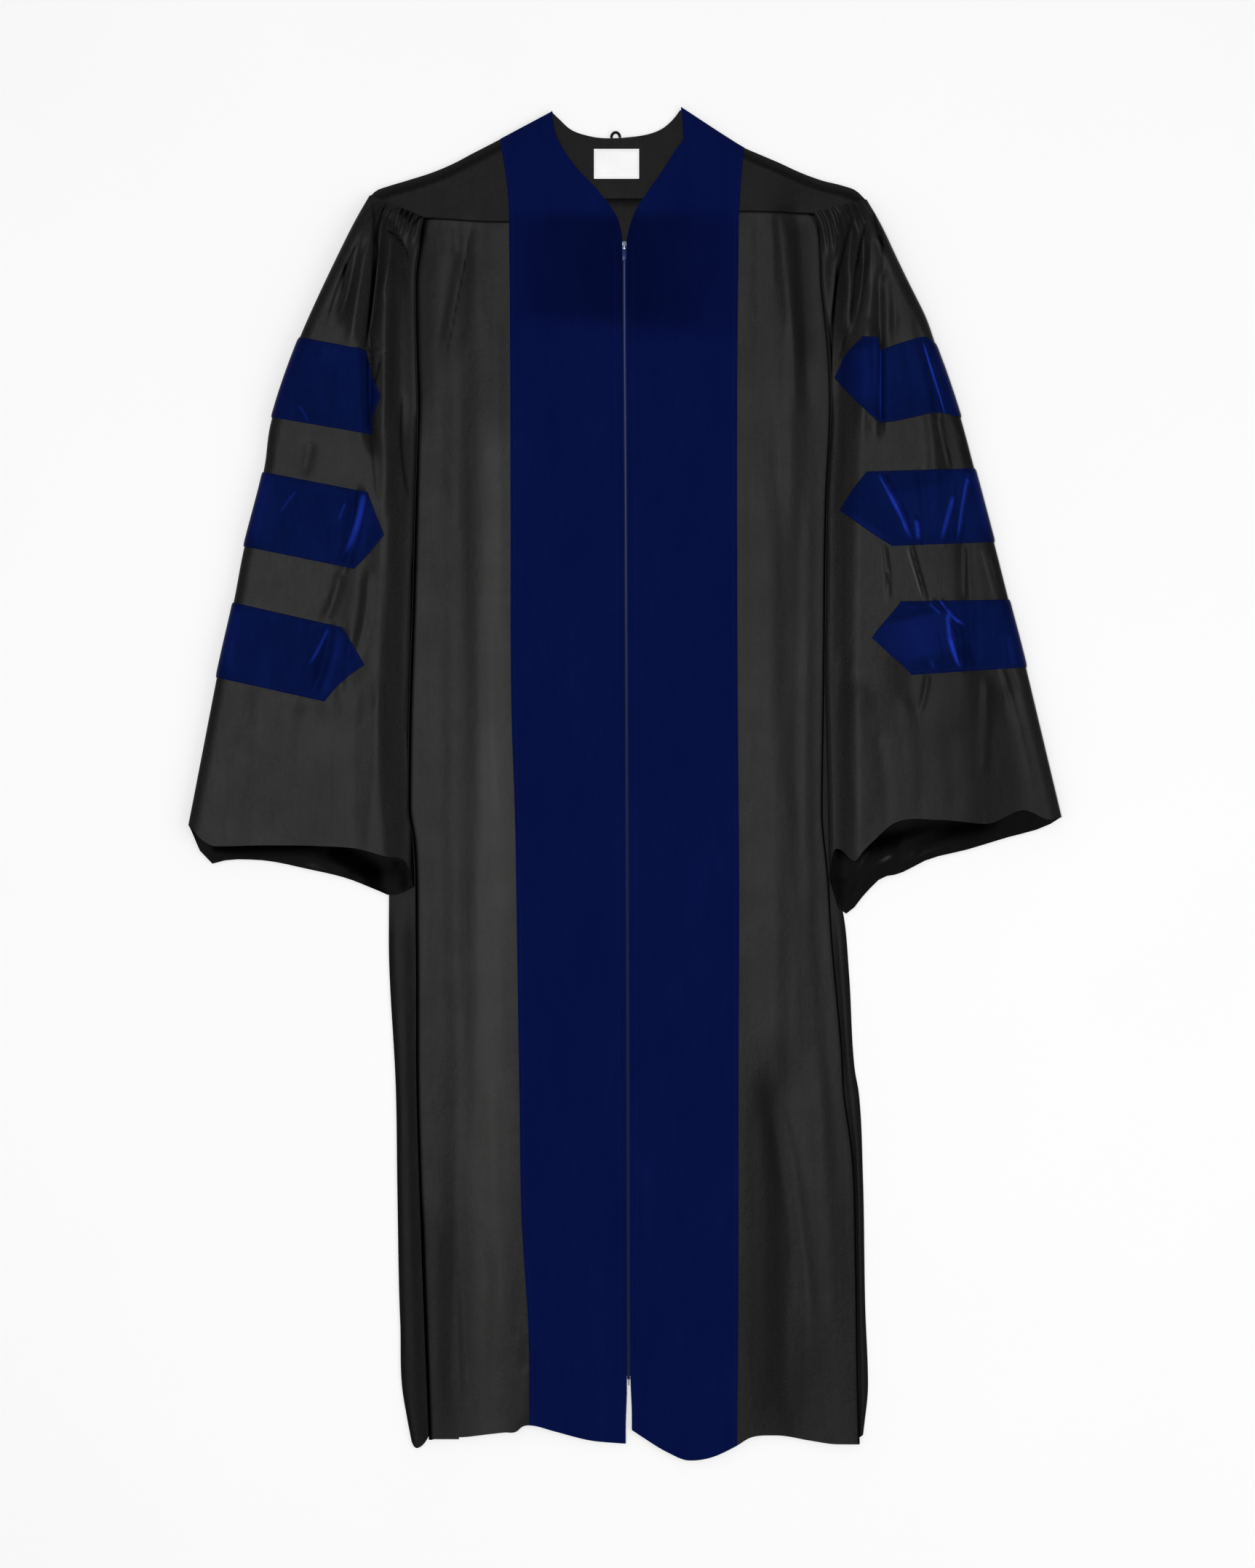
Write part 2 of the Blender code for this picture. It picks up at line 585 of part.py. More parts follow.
def sleeve_line(side, v):
    """The outer and inner plan points, the height and the bars' end at a place along a sleeve."""
    places = range(len(side.stations))
    columns = [curve([(i, getattr(side.stations[i], name)) for i in places])(v) for name in Station._fields]
    outer_x, outer_drop, inner_drop, top, bar = columns
    inner_x = curve(side.fold)(inner_drop) + CLOTH + SEAM_GAP
    index = int(v) // 2 - 1
    if 2 <= v <= 7 and (v - 2) % 2 <= 1:
        ends = side.ends[min(index, 2)]
        end_x = curve([(k / 4, ends[k]) for k in range(5)])((v - 2) % 2)
        bar = 1 - (end_x - inner_x) / (outer_x - SLEEVE_INSET - inner_x)
    return outer_x - SLEEVE_INSET, outer_drop, inner_x, inner_drop, top, bar


def sleeve_plan(side, v, share, hem_table):
    """Plan point of the sleeve, share running from 0 at the outer fold to 1 at the inner edge."""
    outer_x, outer_drop, inner_x, inner_drop = sleeve_line(side, min(v, 7))[:4]
    x = outer_x + (inner_x - outer_x) * share
    drop = outer_drop + (inner_drop - outer_drop) * share
    if v > 7:
        outer_x, outer_drop, inner_x, inner_drop = sleeve_line(side, 8)[:4]
        hem_x = outer_x + (inner_x - outer_x) * share
        x += (hem_x - x) * (v - 7)
        drop += (curve(hem_table)(hem_x) - drop) * (v - 7)
    return max(x, curve(side.fold)(drop) + CLOTH + SEAM_GAP), drop


def sleeve_shares(side, v):
    """Where the columns of a sleeve row stand, from the inner edge over the top and back underneath."""
    outer_x, outer_drop, inner_x, inner_drop, top, bar = sleeve_line(side, v)
    width = math.hypot(outer_x - inner_x, outer_drop - inner_drop)
    rounding = FOLD_ROUND / width
    inner = [1 + (bar - 1) * k / INNER_COLUMNS for k in range(INNER_COLUMNS)]
    middle = [bar + (rounding - bar) * k / BAR_COLUMNS for k in range(BAR_COLUMNS)]
    bend = [rounding * (1 - math.sin(math.pi / 2 * k / ROUND_COLUMNS)) for k in range(ROUND_COLUMNS)]
    under = [
        rounding * (1 - math.cos(math.pi / 2 * k / LOWER_ROUND_COLUMNS)) for k in range(LOWER_ROUND_COLUMNS)
    ]
    lower = [rounding + (bar - rounding) * k / LOWER_COLUMNS for k in range(LOWER_COLUMNS)]
    inside = [bar + (1 - bar) * k / LOWER_COLUMNS for k in range(LOWER_COLUMNS + 1)]
    return inner + middle + bend, under + lower + inside, width


def sleeve(side):
    """Makes a bell sleeve with a gathered head, an open armhole and an open mouth, and its three bars."""
    grid = []
    for v in SLEEVE_ROWS:
        upper, lower, width = sleeve_shares(side, v)
        top, bar = sleeve_line(side, v)[4:]
        closed = ease((v - UNDERARM_ROW + CLOSING) / CLOSING)
        middle = (top - HALF + SLEEVE_LOW) / 2
        line = []
        for share in upper:
            x, drop = sleeve_plan(side, v, share, side.front_hem)
            off_outer, off_inner = share * width, (1 - share) * width
            rise = math.sqrt(1 - (1 - min(off_outer / FOLD_ROUND, 1)) ** 2)
            folds = crease_height(SLEEVE_CREASES, side.sign * x, drop) * ease(off_outer / FOLDS_START - 0.2)
            level = top - HALF + folds
            fall = ease(off_inner / INNER_FALL)
            level = INNER_EDGE_TOP - HALF + (level - INNER_EDGE_TOP + HALF) * fall
            if v < 1:
                count = HEAD_PLEATS * (1 - share) / (1 - bar)
                pleat = (1 - math.cos(2 * math.pi * count)) / 2
                fade = ease((HEAD_PLEAT_END - v) / HEAD_PLEAT_EASE) * ease((1 - share) / HEAD_PLEAT_EDGE)
                level += HEAD_PLEAT_HEIGHT * pleat * fade
            height = middle + (level - middle) * rise
            if off_inner < INNER_ROUND:
                meet = math.sqrt(1 - (1 - off_inner / INNER_ROUND) ** 2)
                low = (INNER_EDGE_TOP - HALF + SLEEVE_LOW) / 2
                height += (low + (height - low) * meet - height) * closed
            line.append((side.sign * x, drop, height))
        for share in lower:
            x, drop = sleeve_plan(side, v, share, side.back_hem)
            off_outer, off_inner = share * width, (1 - share) * width
            rise = math.sqrt(1 - (1 - min(off_outer / FOLD_ROUND, 1)) ** 2)
            height = middle + (SLEEVE_LOW - middle) * rise
            if off_inner < 0.01:
                low = (INNER_EDGE_TOP - HALF + SLEEVE_LOW) / 2
                height += (low - height) * closed
            line.append((side.sign * x, drop, height))
        grid.append(line)
    points = np.array(grid)
    out = normals(points) * side.sign
    closed_from = SLEEVE_ROWS.index(UNDERARM_ROW)
    for r in range(closed_from, len(SLEEVE_ROWS)):
        points[r, -1] = points[r, 0]
        joined = np.array([-side.sign, 0, 0], float)
        out[r, 0] = out[r, -1] = joined
    wall(f"sleeve_{side.name}", points, out, -HALF, HALF, BLACK, closed_from)

    first = INNER_COLUMNS
    last = INNER_COLUMNS + BAR_COLUMNS + ROUND_COLUMNS + LOWER_ROUND_COLUMNS + LOWER_COLUMNS
    for number in (1, 2, 3):
        start = SLEEVE_ROWS.index(2 * number)
        end = SLEEVE_ROWS.index(2 * number + 1)
        part = (slice(start, end + 1), slice(first, last + 1))
        name = f"velvet_bar_{side.name}_{number}"
        wall(name, points[part], out[part], VELVET_LOW, VELVET_HIGH, VELVET)


def box(bm, x0, x1, drop0, drop1, z0, z1):
    """Adds a block between six faces."""
    made = bmesh.ops.create_cube(bm, size=1)["verts"]
    size = ((x1 - x0) * MM, (drop1 - drop0) * MM, (z1 - z0) * MM)
    bmesh.ops.scale(bm, verts=made, vec=size)
    centre = to_metres(((x0 + x1) / 2, (drop0 + drop1) / 2, (z0 + z1) / 2))
    bmesh.ops.translate(bm, verts=made, vec=centre)


def joined_blocks(name, blocks, look):
    """Unions blocks into one solid."""
    pieces = []
    for block in blocks:
        bm = bmesh.new()
        box(bm, *block)
        pieces.append(finish(name if not pieces else f"{name}_cutter", bm, look))
    for extra in pieces[1:]:
        union = pieces[0].modifiers.new("union", "BOOLEAN")
        union.operation = "UNION"
        union.solver = "EXACT"
        union.object = extra
        extra.hide_render = True
        extra.display_type = "WIRE"
    return pieces[0]


def zip_fastener():
    """Makes the closed zip, its slider and the slider's hinged pull."""
    for side in (LEFT, RIGHT):
        drops = [d for d in FRONT_ROWS if SLIDER_DROP < d < SLIT_TOP] + [SLIT_TOP - TEETH_FOOT]
        drops = [SLIDER_DROP - 1] + drops
        rows = []
        for drop in drops:
            middle = zip_x(drop)
            near, far = middle + side.sign * GAP / 2, middle + side.sign * (GAP / 2 + ZIP_HALF_WIDTH)
            rows.append([(near, drop, TEETH_MIDDLE), (far, drop, TEETH_MIDDLE)])
        points = np.array(rows)
        up = np.zeros_like(points)
        up[:, :, 2] = 1
        wall(f"zip_teeth_{side.name}", points, up, -TEETH_HEIGHT / 2, TEETH_HEIGHT / 2, ZIP_BLUE)

    middle = zip_x(SLIDER_DROP)
    half = SLIDER_WIDTH / 2
    top, foot = SLIDER_DROP - SLIDER_LENGTH / 2, SLIDER_DROP + SLIDER_LENGTH / 2
    base = CLOTH + GAP
    plate = SLIDER_TOP - SLIDER_PLATE
    arch = SLIDER_TOP + BRIDGE_ROOM
    reach = BRIDGE_LENGTH / 2
    width = BRIDGE_WIDTH / 2
    overlap = BLOCK_OVERLAP
    post = POST_WIDTH / 2
    joined_blocks("zip_slider", (
        (middle - half, middle + half, top, foot, plate, SLIDER_TOP),
        (middle - half, middle + half, top, foot, base, base + SLIDER_BASE),
        (middle - post, middle + post, top + POST_TOP, top + POST_FOOT, base + overlap, plate + overlap),
        (middle - width, middle + width, SLIDER_DROP - reach, SLIDER_DROP - reach + BRIDGE_FOOT,
         SLIDER_TOP - overlap, arch + overlap),
        (middle - width, middle + width, SLIDER_DROP + reach - BRIDGE_FOOT, SLIDER_DROP + reach,
         SLIDER_TOP - overlap, arch + overlap),
        (middle - width, middle + width, SLIDER_DROP - reach, SLIDER_DROP + reach, arch, arch + BRIDGE_FOOT),
    ), METAL_BLUE)

    inner = width + GAP
    outer = inner + PULL_ARM
    low, high = PIVOT_HEIGHT - PULL_THICKNESS / 2, PIVOT_HEIGHT + PULL_THICKNESS / 2
    tab = PULL_WIDTH / 2
    arm_top, arm_foot = SLIDER_DROP - PIN_RADIUS, SLIDER_DROP + PULL_EYE + overlap
    pull = joined_blocks("zip_pull", (
        (middle - outer, middle - inner, arm_top, arm_foot, low, high),
        (middle + inner, middle + outer, arm_top, arm_foot, low, high),
        (middle - inner - overlap, middle + inner + overlap, arm_top + PIN_INSET,
         SLIDER_DROP + PIN_RADIUS - PIN_INSET, low + PIN_INSET, high - PIN_INSET),
        (middle - tab, middle + tab, SLIDER_DROP + PULL_EYE, SLIDER_DROP + PULL_LENGTH, low, high),
    ), METAL_BLUE)
    place = to_metres((middle, SLIDER_DROP, PIVOT_HEIGHT))
    hinged = [pull] + [o for o in bpy.data.objects if o.name.startswith("zip_pull_cutter")]
    for item in hinged:
        item.data.transform(Matrix.Translation([-c for c in place]))
        item.location = place


def label_and_loop():
    """Makes the bare neck label and the hanger loop behind the neck."""
    low = CLOTH + GAP
    bm = bmesh.new()
    x0, drop0 = LABEL_X - LABEL_WIDTH / 2, LABEL_DROP
    box(bm, x0, x0 + LABEL_WIDTH, drop0, drop0 + LABEL_DEPTH, low, low + LABEL_THICKNESS)
    upright = [e for e in bm.edges if abs(e.verts[0].co.z - e.verts[1].co.z) > LABEL_THICKNESS * MM / 2]
    bmesh.ops.bevel(
        bm, geom=upright, offset=LABEL_CORNER * MM, offset_type="OFFSET", segments=3, profile=0.5,
        affect="EDGES", material=-1,
    )
    finish("neck_label", bm, LABEL_WHITE)

    line = bpy.data.curves.new("hanger_loop", "CURVE")
    line.dimensions = "3D"
    line.bevel_depth = LOOP_RADIUS * MM
    line.bevel_resolution = 2
    line.use_fill_caps = True
    spline = line.splines.new("POLY")
    neck = curve(BACK_NECK)
    spline.points.add(LOOP_POINTS)
    for i in range(LOOP_POINTS + 1):
        angle = math.pi * i / LOOP_POINTS
        x = LOOP_X - LOOP_WIDTH / 2 * math.cos(angle)
        edge = min(neck(x - LOOP_RADIUS), neck(x + LOOP_RADIUS))
        drop = edge - LOOP_GAP - LOOP_RISE * math.sin(angle)
        spline.points[i].co = (*to_metres((x, drop, LOOP_RADIUS)), 1)
    item = bpy.data.objects.new("hanger_loop", line)
    bpy.context.collection.objects.link(item)
    line.materials.append(material("hanger_loop", *BLACK))


for item in list(bpy.data.objects):
    bpy.data.objects.remove(item)

back()
front(LEFT)
front(RIGHT)
sleeve(LEFT)
sleeve(RIGHT)
zip_fastener()
label_and_loop()
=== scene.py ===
"""Dresses the laid-out doctoral gown: black gown cloth, blue velvet, the zip, the neck label and the sewing.

Cloth sizes are in millimetres until a mesh is made. x runs across, and drop runs down from the neck point.
"""
import math
from collections import namedtuple

import bmesh
import bpy
import numpy as np
from mathutils import Matrix, Vector


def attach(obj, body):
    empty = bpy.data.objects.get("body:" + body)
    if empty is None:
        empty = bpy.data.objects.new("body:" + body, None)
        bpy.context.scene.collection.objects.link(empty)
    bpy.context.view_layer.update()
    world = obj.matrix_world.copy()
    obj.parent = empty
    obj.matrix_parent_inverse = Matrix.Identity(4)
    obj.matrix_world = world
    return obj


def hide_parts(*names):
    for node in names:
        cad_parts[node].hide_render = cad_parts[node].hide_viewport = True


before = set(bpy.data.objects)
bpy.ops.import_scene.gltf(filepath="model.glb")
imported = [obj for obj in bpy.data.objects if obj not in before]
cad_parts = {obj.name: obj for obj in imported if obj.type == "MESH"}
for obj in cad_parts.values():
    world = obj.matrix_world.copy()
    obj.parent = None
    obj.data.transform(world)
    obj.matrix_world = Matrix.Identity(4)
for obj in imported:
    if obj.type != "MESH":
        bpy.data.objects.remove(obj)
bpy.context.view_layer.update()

MM = 0.001
LENGTH = 1381.7
CENTRE_DROP = LENGTH / 2

CLOTH = 1.2
GAP = 0.3
SEAM_GAP = 0.8
HALF = CLOTH / 2
BACK_MIDDLE = HALF
UNDER_MIDDLE = CLOTH + GAP + HALF
SLEEVE_LOW = CLOTH + 2 * GAP + HALF
FRONT_LOW = 2.4
FRONT_MIDDLE = FRONT_LOW + HALF
VELVET_LOW = HALF + GAP
VELVET_HIGH = VELVET_LOW + CLOTH

ROLL_RADIUS = 2.1
ROLL_TOP = UNDER_MIDDLE + 2 * ROLL_RADIUS
TURN_UNDER = 28.0
PLATEAU = 1.4
PLATEAU_WIDTH = 90.0
ROLL_RAMP = 30.0
LEAST_OVER_TURN = UNDER_MIDDLE + CLOTH + 0.6
SHOULDER_EASE = 14.0
SHOULDER_START = 0.12
PLATEAU_START = 20.0
CREASES_END = 22.0
HEM_SWAY_TOP = 1150.0

ZIP_SLOT = 1.9
ZIP_TOP = 139.0
SLIT_TOP = 1309.0
SLIT_OPENING = 1.2
SLIT_EASE = 40.0
TEETH_FOOT = 4.0
HEM_MEAN = 1364.0

SLEEVE_INSET = 1.5
FOLD_ROUND = 11.0
INNER_ROUND = 4.0
INNER_EDGE_TOP = 6.6
INNER_FALL = 34.0
FOLDS_START = 30.0
UNDERARM_ROW = 3.0
HEAD_PLEATS = 4
HEAD_PLEAT_HEIGHT = 1.7
HEAD_PLEAT_END = 0.7
HEAD_PLEAT_EASE = 0.4
HEAD_PLEAT_EDGE = 0.02
CLOSING = 0.5

Side = namedtuple("Side", (
    "name", "sign", "neck", "shoulder", "seam", "velvet", "fold", "side", "hem",
    "stations", "ends", "front_hem", "back_hem",
))

# The middle line of the zip leans a little to the right on its way down: drop and x.
ZIP_LINE = ((0, -0.7), (142, -0.7), (411, 0.7), (1005, 3.0), (1309, 3.7), (1383, 3.9))

# Outlines of the left half: drop against distance from the middle.
LEFT_NECK = ((5, 74.2), (24, 72.0), (36, 67.5), (59, 52.7), (88, 26.0), (113, 8.2), (127, 4.1), (139, 2.6))
LEFT_SHOULDER = (
    (74, 5.2), (127, 33.5), (157, 49), (174, 58), (195, 67), (222, 75.7), (244, 82.4), (254, 86.3),
    (259.5, 91.5),
)
LEFT_SEAM = ((0, 118.5), (123, 118.5), (203, 114.3))
LEFT_VELVET = (
    (36, 127), (88, 119.5), (148, 118), (411, 116.5), (609, 115.8), (728, 112), (847, 110), (1005, 107.6),
    (1136, 105.4), (1185, 102.4), (1247, 98.7), (1364, 97.5),
)
LEFT_FOLD = (
    (114, 202.6), (128, 206), (181, 213), (248, 212.2), (307, 210.7), (411, 213.3), (507, 215.9),
    (626, 219.6), (715, 220.4), (752, 215.2), (849, 213), (1005, 212.2), (1109, 209.2), (1250, 204.1),
    (1364, 199.6),
)
LEFT_SIDE = (
    (114, 210), (181, 218), (248, 222), (340, 232), (411, 238), (803, 241), (850, 241), (1005, 233.7),
    (1109, 232.2), (1250, 229.3), (1346, 224), (1370, 215),
)
LEFT_HEM = (
    (0, 1365), (36, 1361.5), (71, 1352.6), (98, 1346), (105, 1347.4), (111, 1352.6), (123, 1353.4),
    (161, 1357.9), (200, 1361.6), (206, 1366), (213, 1369.7), (224, 1346),
)

# Outlines of the right half.
RIGHT_NECK = (
    (1, 57.1), (15, 58.6), (33, 59.4), (43, 52.7), (63, 40.1), (88, 22.3), (109, 9.6), (128, 3.4), (139, 1.2),
)
RIGHT_SHOULDER = (
    (57, 0.7), (103, 31), (121, 42), (137, 49), (158, 58), (177, 66.8), (201, 75.7), (222, 81), (236, 86.3),
    (245.5, 95.5),
)
RIGHT_SEAM = ((0, 107.6), (124, 107.6), (188, 109.8))
RIGHT_VELVET = (
    (45, 121), (95, 117.2), (148, 115.8), (411, 114.3), (609, 115), (807, 116.5), (1005, 115.8),
    (1178, 115.8), (1364, 114.3),
)
RIGHT_FOLD = (
    (109, 188), (119, 194), (136, 198), (181, 200.3), (248, 207), (302, 209.2), (411, 204.8), (597, 202.6),
    (720, 201.1), (787, 207), (847, 210.7), (965, 221.1), (1005, 223.3), (1074, 232.2), (1178, 235.2),
    (1316, 237.4), (1364, 238.9),
)
RIGHT_SIDE = (
    (109, 197), (181, 206), (248, 211), (302, 212.5), (340, 212), (411, 213), (790, 214), (823, 222.6),
    (886, 228.5), (985, 234.5), (1005, 238.2), (1094, 242.6), (1227, 244.9), (1317, 247.8), (1365, 242.6),
)
RIGHT_HEM = (
    (4, 1349), (7, 1351), (19, 1359), (43, 1373.5), (66, 1382), (88, 1378.6), (114, 1366.8), (128, 1358.6),
    (154, 1356.4), (188, 1361.6), (217, 1365.3), (243, 1365.3), (248, 1351),
)

# The back neck and the back hem: x against drop.
BACK_NECK = (
    (-74, 6), (-67.5, 12), (-56.4, 22.3), (-36.4, 29.7), (-17, 31.9), (0, 31.2), (27.5, 26.7), (40, 20.8),
    (50.5, 11), (57, 2),
)
BACK_SEAM = ((-206, 114.3), (-120, 104), (-26, 93.5), (20, 93.5), (110, 100), (193, 109.8))
BACK_HEM = (
    (-224, 1346), (-213, 1369.5), (-203, 1362), (-180, 1310), (-120, 1296), (0, 1296), (150, 1296),
    (210, 1312), (236, 1360), (248, 1351),
)

# Lines across each sleeve, from the head (0) to the mouth (8): the outer fold's x and drop, the inner edge's
# drop, the height of the top, and how far across the columns are spaced for the bars. The bars lie between
# the lines numbered 2 and 3, 4 and 5, and 6 and 7.
LEFT_STATIONS = (
    (261.5, 93.4, 115.4, 9.5, 0.52),
    (285.7, 136.5, 168.0, 19.0, 0.52),
    (332.4, 236.7, 259.0, 17.0, 0.62),
    (360.6, 318.3, 343.5, 16.0, 0.66),
    (369.5, 374.0, 403.6, 16.0, 0.70),
    (388.8, 449.7, 484.5, 15.5, 0.70),
    (399.9, 506.8, 547.6, 15.5, 0.62),
    (417.0, 583.2, 626.2, 15.5, 0.60),
    (446.0, 727.0, 796.0, 15.0, 0.60),
)
RIGHT_STATIONS = (
    (247.4, 97.5, 111.0, 9.5, 0.52),
    (269.4, 137.0, 182.0, 19.0, 0.52),
    (317.0, 244.0, 240.0, 17.5, 0.70),
    (342.8, 320.5, 325.0, 16.5, 0.74),
    (356.9, 370.3, 374.7, 16.5, 0.74),
    (376.9, 445.2, 451.9, 16.0, 0.74),
    (391.8, 503.8, 506.8, 15.5, 0.66),
    (409.6, 572.8, 586.2, 15.5, 0.66),
    (446.0, 724.0, 790.0, 15.0, 0.60),
)

# Distance from the middle to each bar's pointed end, at its top, quarter, half, three quarters and foot.
LEFT_BAR_ENDS = ((264, 258, 248, 257, 258), (262, 254, 245, 260, 276), (288, 276, 265, 286, 306))
RIGHT_BAR_ENDS = ((242, 225, 214, 238, 259), (246, 232, 219, 245, 272), (281, 266, 251, 269, 292))

# The sleeve mouths: distance from the middle against drop, for the front layer and the back layer.
LEFT_FRONT_HEM = (
    (216, 796), (221, 776), (230, 767), (240, 766), (272, 757.6), (304, 755), (365, 754), (416, 755),
    (432, 747), (446, 730),
)
LEFT_BACK_HEM = (
    (216, 796), (228, 803.5), (240, 805), (252, 800.4), (284, 787.8), (325, 778.1), (365, 770), (403, 768.5),
    (420, 773), (431, 765), (446, 730),
)
RIGHT_FRONT_HEM = (
    (209, 790), (212, 764), (218, 758), (234, 770), (242, 760.5), (254.5, 748), (275, 731), (318, 728),
    (368, 732), (406, 718.3), (433, 728), (446.5, 724),
)
RIGHT_BACK_HEM = (
    (209, 790), (215, 813), (226, 824), (242, 807), (261, 788), (280, 783), (309.4, 768.5), (347.3, 759),
    (388.8, 746.5), (432, 733.5), (446.5, 724),
)

LEFT = Side(
    "left", -1, LEFT_NECK, LEFT_SHOULDER, LEFT_SEAM, LEFT_VELVET, LEFT_FOLD, LEFT_SIDE, LEFT_HEM,
    LEFT_STATIONS, LEFT_BAR_ENDS, LEFT_FRONT_HEM, LEFT_BACK_HEM,
)
RIGHT = Side(
    "right", 1, RIGHT_NECK, RIGHT_SHOULDER, RIGHT_SEAM, RIGHT_VELVET, RIGHT_FOLD, RIGHT_SIDE, RIGHT_HEM,
    RIGHT_STATIONS, RIGHT_BAR_ENDS, RIGHT_FRONT_HEM, RIGHT_BACK_HEM,
)

# Every row of the tables of folds and shades below holds the x and drop of both ends, the bow to one side, the
# height (a negative one is a trough) or the shade (a negative one is dark), and the half width.
# Folds in the front panels, and gathers and folds in the sleeves.
FRONT_CREASES = (
    (-158, 122, -184, 250, 0, -1.6, 7), (-185, 120, -190, 420, 0, 0.9, 12),
    (-150, 180, -150, 900, 0, 1.3, 16), (-135, 1000, -122, 1290, 0, 1.2, 12),
    (-165, 900, -170, 1300, 0, -1.2, 14), (157, 112, 170, 232, 0, 1.4, 6), (174, 112, 186, 300, 0, -1.8, 10),
    (140, 300, 150, 1000, 0, 1.2, 14), (178, 300, 172, 900, 0, -1.2, 12), (147, 1010, 188, 1250, 8, -2.2, 12),
    (200, 1000, 216, 1340, 0, 1.2, 12), (-60, 200, -55, 1250, 0, 0.8, 30), (60, 250, 62, 1200, 0, 0.8, 30),
    (90, 1180, 80, 1378, 0, 1.6, 18),
)
SLEEVE_CREASES = (
    (-272, 118, -289, 214, 3, -5.0, 6), (-250, 106, -264, 250, 4, -6.0, 6),
    (-264, 250, -256, 350, -3, -3.5, 6), (-244, 112, -226, 156, 6, -4.0, 5),
    (-231, 190, -229, 330, 0, -5.0, 10), (-262, 112, -278, 240, 0, 2.6, 6), (-238, 160, -245, 330, 0, 2.6, 7),
    (-262, 420, -284, 590, 0, -2.6, 14), (-300, 600, -284, 740, 0, -2.4, 14),
    (-330, 620, -350, 750, 0, 2.2, 16), (-380, 660, -395, 752, 0, -2.0, 14),
    (-252, 640, -250, 770, 0, 2.4, 14), (217, 116, 208, 236, 3, -5.5, 5.5), (243, 118, 233, 226, 4, -6.0, 6),
    (259, 142, 262, 176, 4, -4.5, 5), (230, 112, 224, 236, 0, 2.6, 6), (259, 180, 259, 325, 0, -3.2, 5),
    (248, 226, 240, 330, 0, 2.0, 7), (296, 240, 316, 420, 6, 1.8, 7), (330, 330, 352, 560, 4, -1.8, 8),
    (290, 560, 300, 728, 0, -2.6, 18), (345, 560, 352, 735, 0, 2.4, 18), (392, 600, 408, 722, 0, -2.2, 14),
    (236, 600, 240, 748, 0, 2.6, 15),
)

# Finer folds than the solids have, placed where the cloth shows them.
SMALL_FRONT_CREASES = (
    (-159, 149, -174, 253, 2, -0.9, 7), (-146, 122, -141, 210, 0, -0.5, 5),
    (-132, 200, -129, 520, 1, -0.5, 6), (-137, 540, -130, 720, -2, -0.7, 7),
    (-170, 380, -160, 800, 5, -0.4, 9), (-186, 520, -181, 980, -3, 0.5, 8),
    (-150, 760, -160, 1130, 3, 0.6, 11), (-128, 860, -124, 1180, 0, -0.5, 7),
    (-176, 1080, -168, 1350, 2, -0.7, 9), (-140, 1180, -146, 1356, -2, -0.7, 8),
    (-110, 1260, -112, 1350, 0, 0.5, 6), (-192, 1150, -194, 1350, 0, 0.6, 6),
    (-199, 121, -193, 146, 0, -0.5, 2.2), (-192, 119, -187, 150, 1, -0.6, 2.4),
    (-184, 119, -181, 143, 0, -0.5, 2.2), (-176, 120, -173, 151, 1, -0.6, 2.6),
    (-167, 121, -166, 140, 0, -0.4, 2.2), (166, 122, 175, 300, 1, 0.8, 3), (193, 118, 204, 240, 2, 0.7, 3.2),
    (150, 112, 152, 190, 0, -0.5, 4), (136, 118, 133, 330, 1, -0.5, 6), (128, 360, 126, 700, 0, 0.5, 7),
    (158, 340, 160, 640, 3, -0.5, 8), (188, 420, 186, 800, -2, 0.5, 6), (140, 640, 146, 980, 3, -0.5, 8),
    (166, 700, 176, 980, 2, 0.5, 8), (196, 820, 214, 1100, 3, -0.7, 8), (150, 950, 196, 1250, 6, 0.8, 9),
    (132, 1030, 134, 1300, 0, -0.6, 8), (222, 1120, 228, 1340, 0, 0.6, 5),
    (168, 1180, 174, 1355, -3, -0.8, 10), (206, 1240, 205, 1358, 0, -0.5, 7),
)
# Broad swells and hollows of the two panels.
BROAD_CREASES = (
    (-106, 240, -102, 1050, 0, 2.4, 32), (-172, 240, -178, 1000, 2, -2.0, 22),
    (-165, 1000, -160, 1357, 0, -1.5, 26), (164, 112, 171, 420, 2, 2.6, 15), (160, 420, 168, 900, 2, 1.6, 24),
    (160, 980, 178, 1357, 2, -3.0, 22),
)
VELVET_CREASES = (
    (-112, 1240, -60, 1300, 3, 0.5, 5), (-100, 1290, -104, 1345, 0, 0.7, 6),
    (-70, 1296, -74, 1352, 0, -0.6, 8), (-38, 1300, -34, 1358, 0, 0.6, 9), (104, 430, 113, 466, 0, 0.6, 3),
    (30, 1290, 36, 1366, 0, 0.7, 9), (64, 1310, 66, 1378, 0, -0.7, 9), (96, 1300, 92, 1370, 0, 0.6, 8),
    (-90, 250, -82, 640, 3, 0.3, 12), (-40, 300, -34, 820, 2, -0.3, 14), (44, 320, 40, 900, -2, 0.3, 14),
    (88, 560, 92, 1120, 2, -0.3, 11), (-76, 760, -80, 1200, -3, 0.3, 13),
)
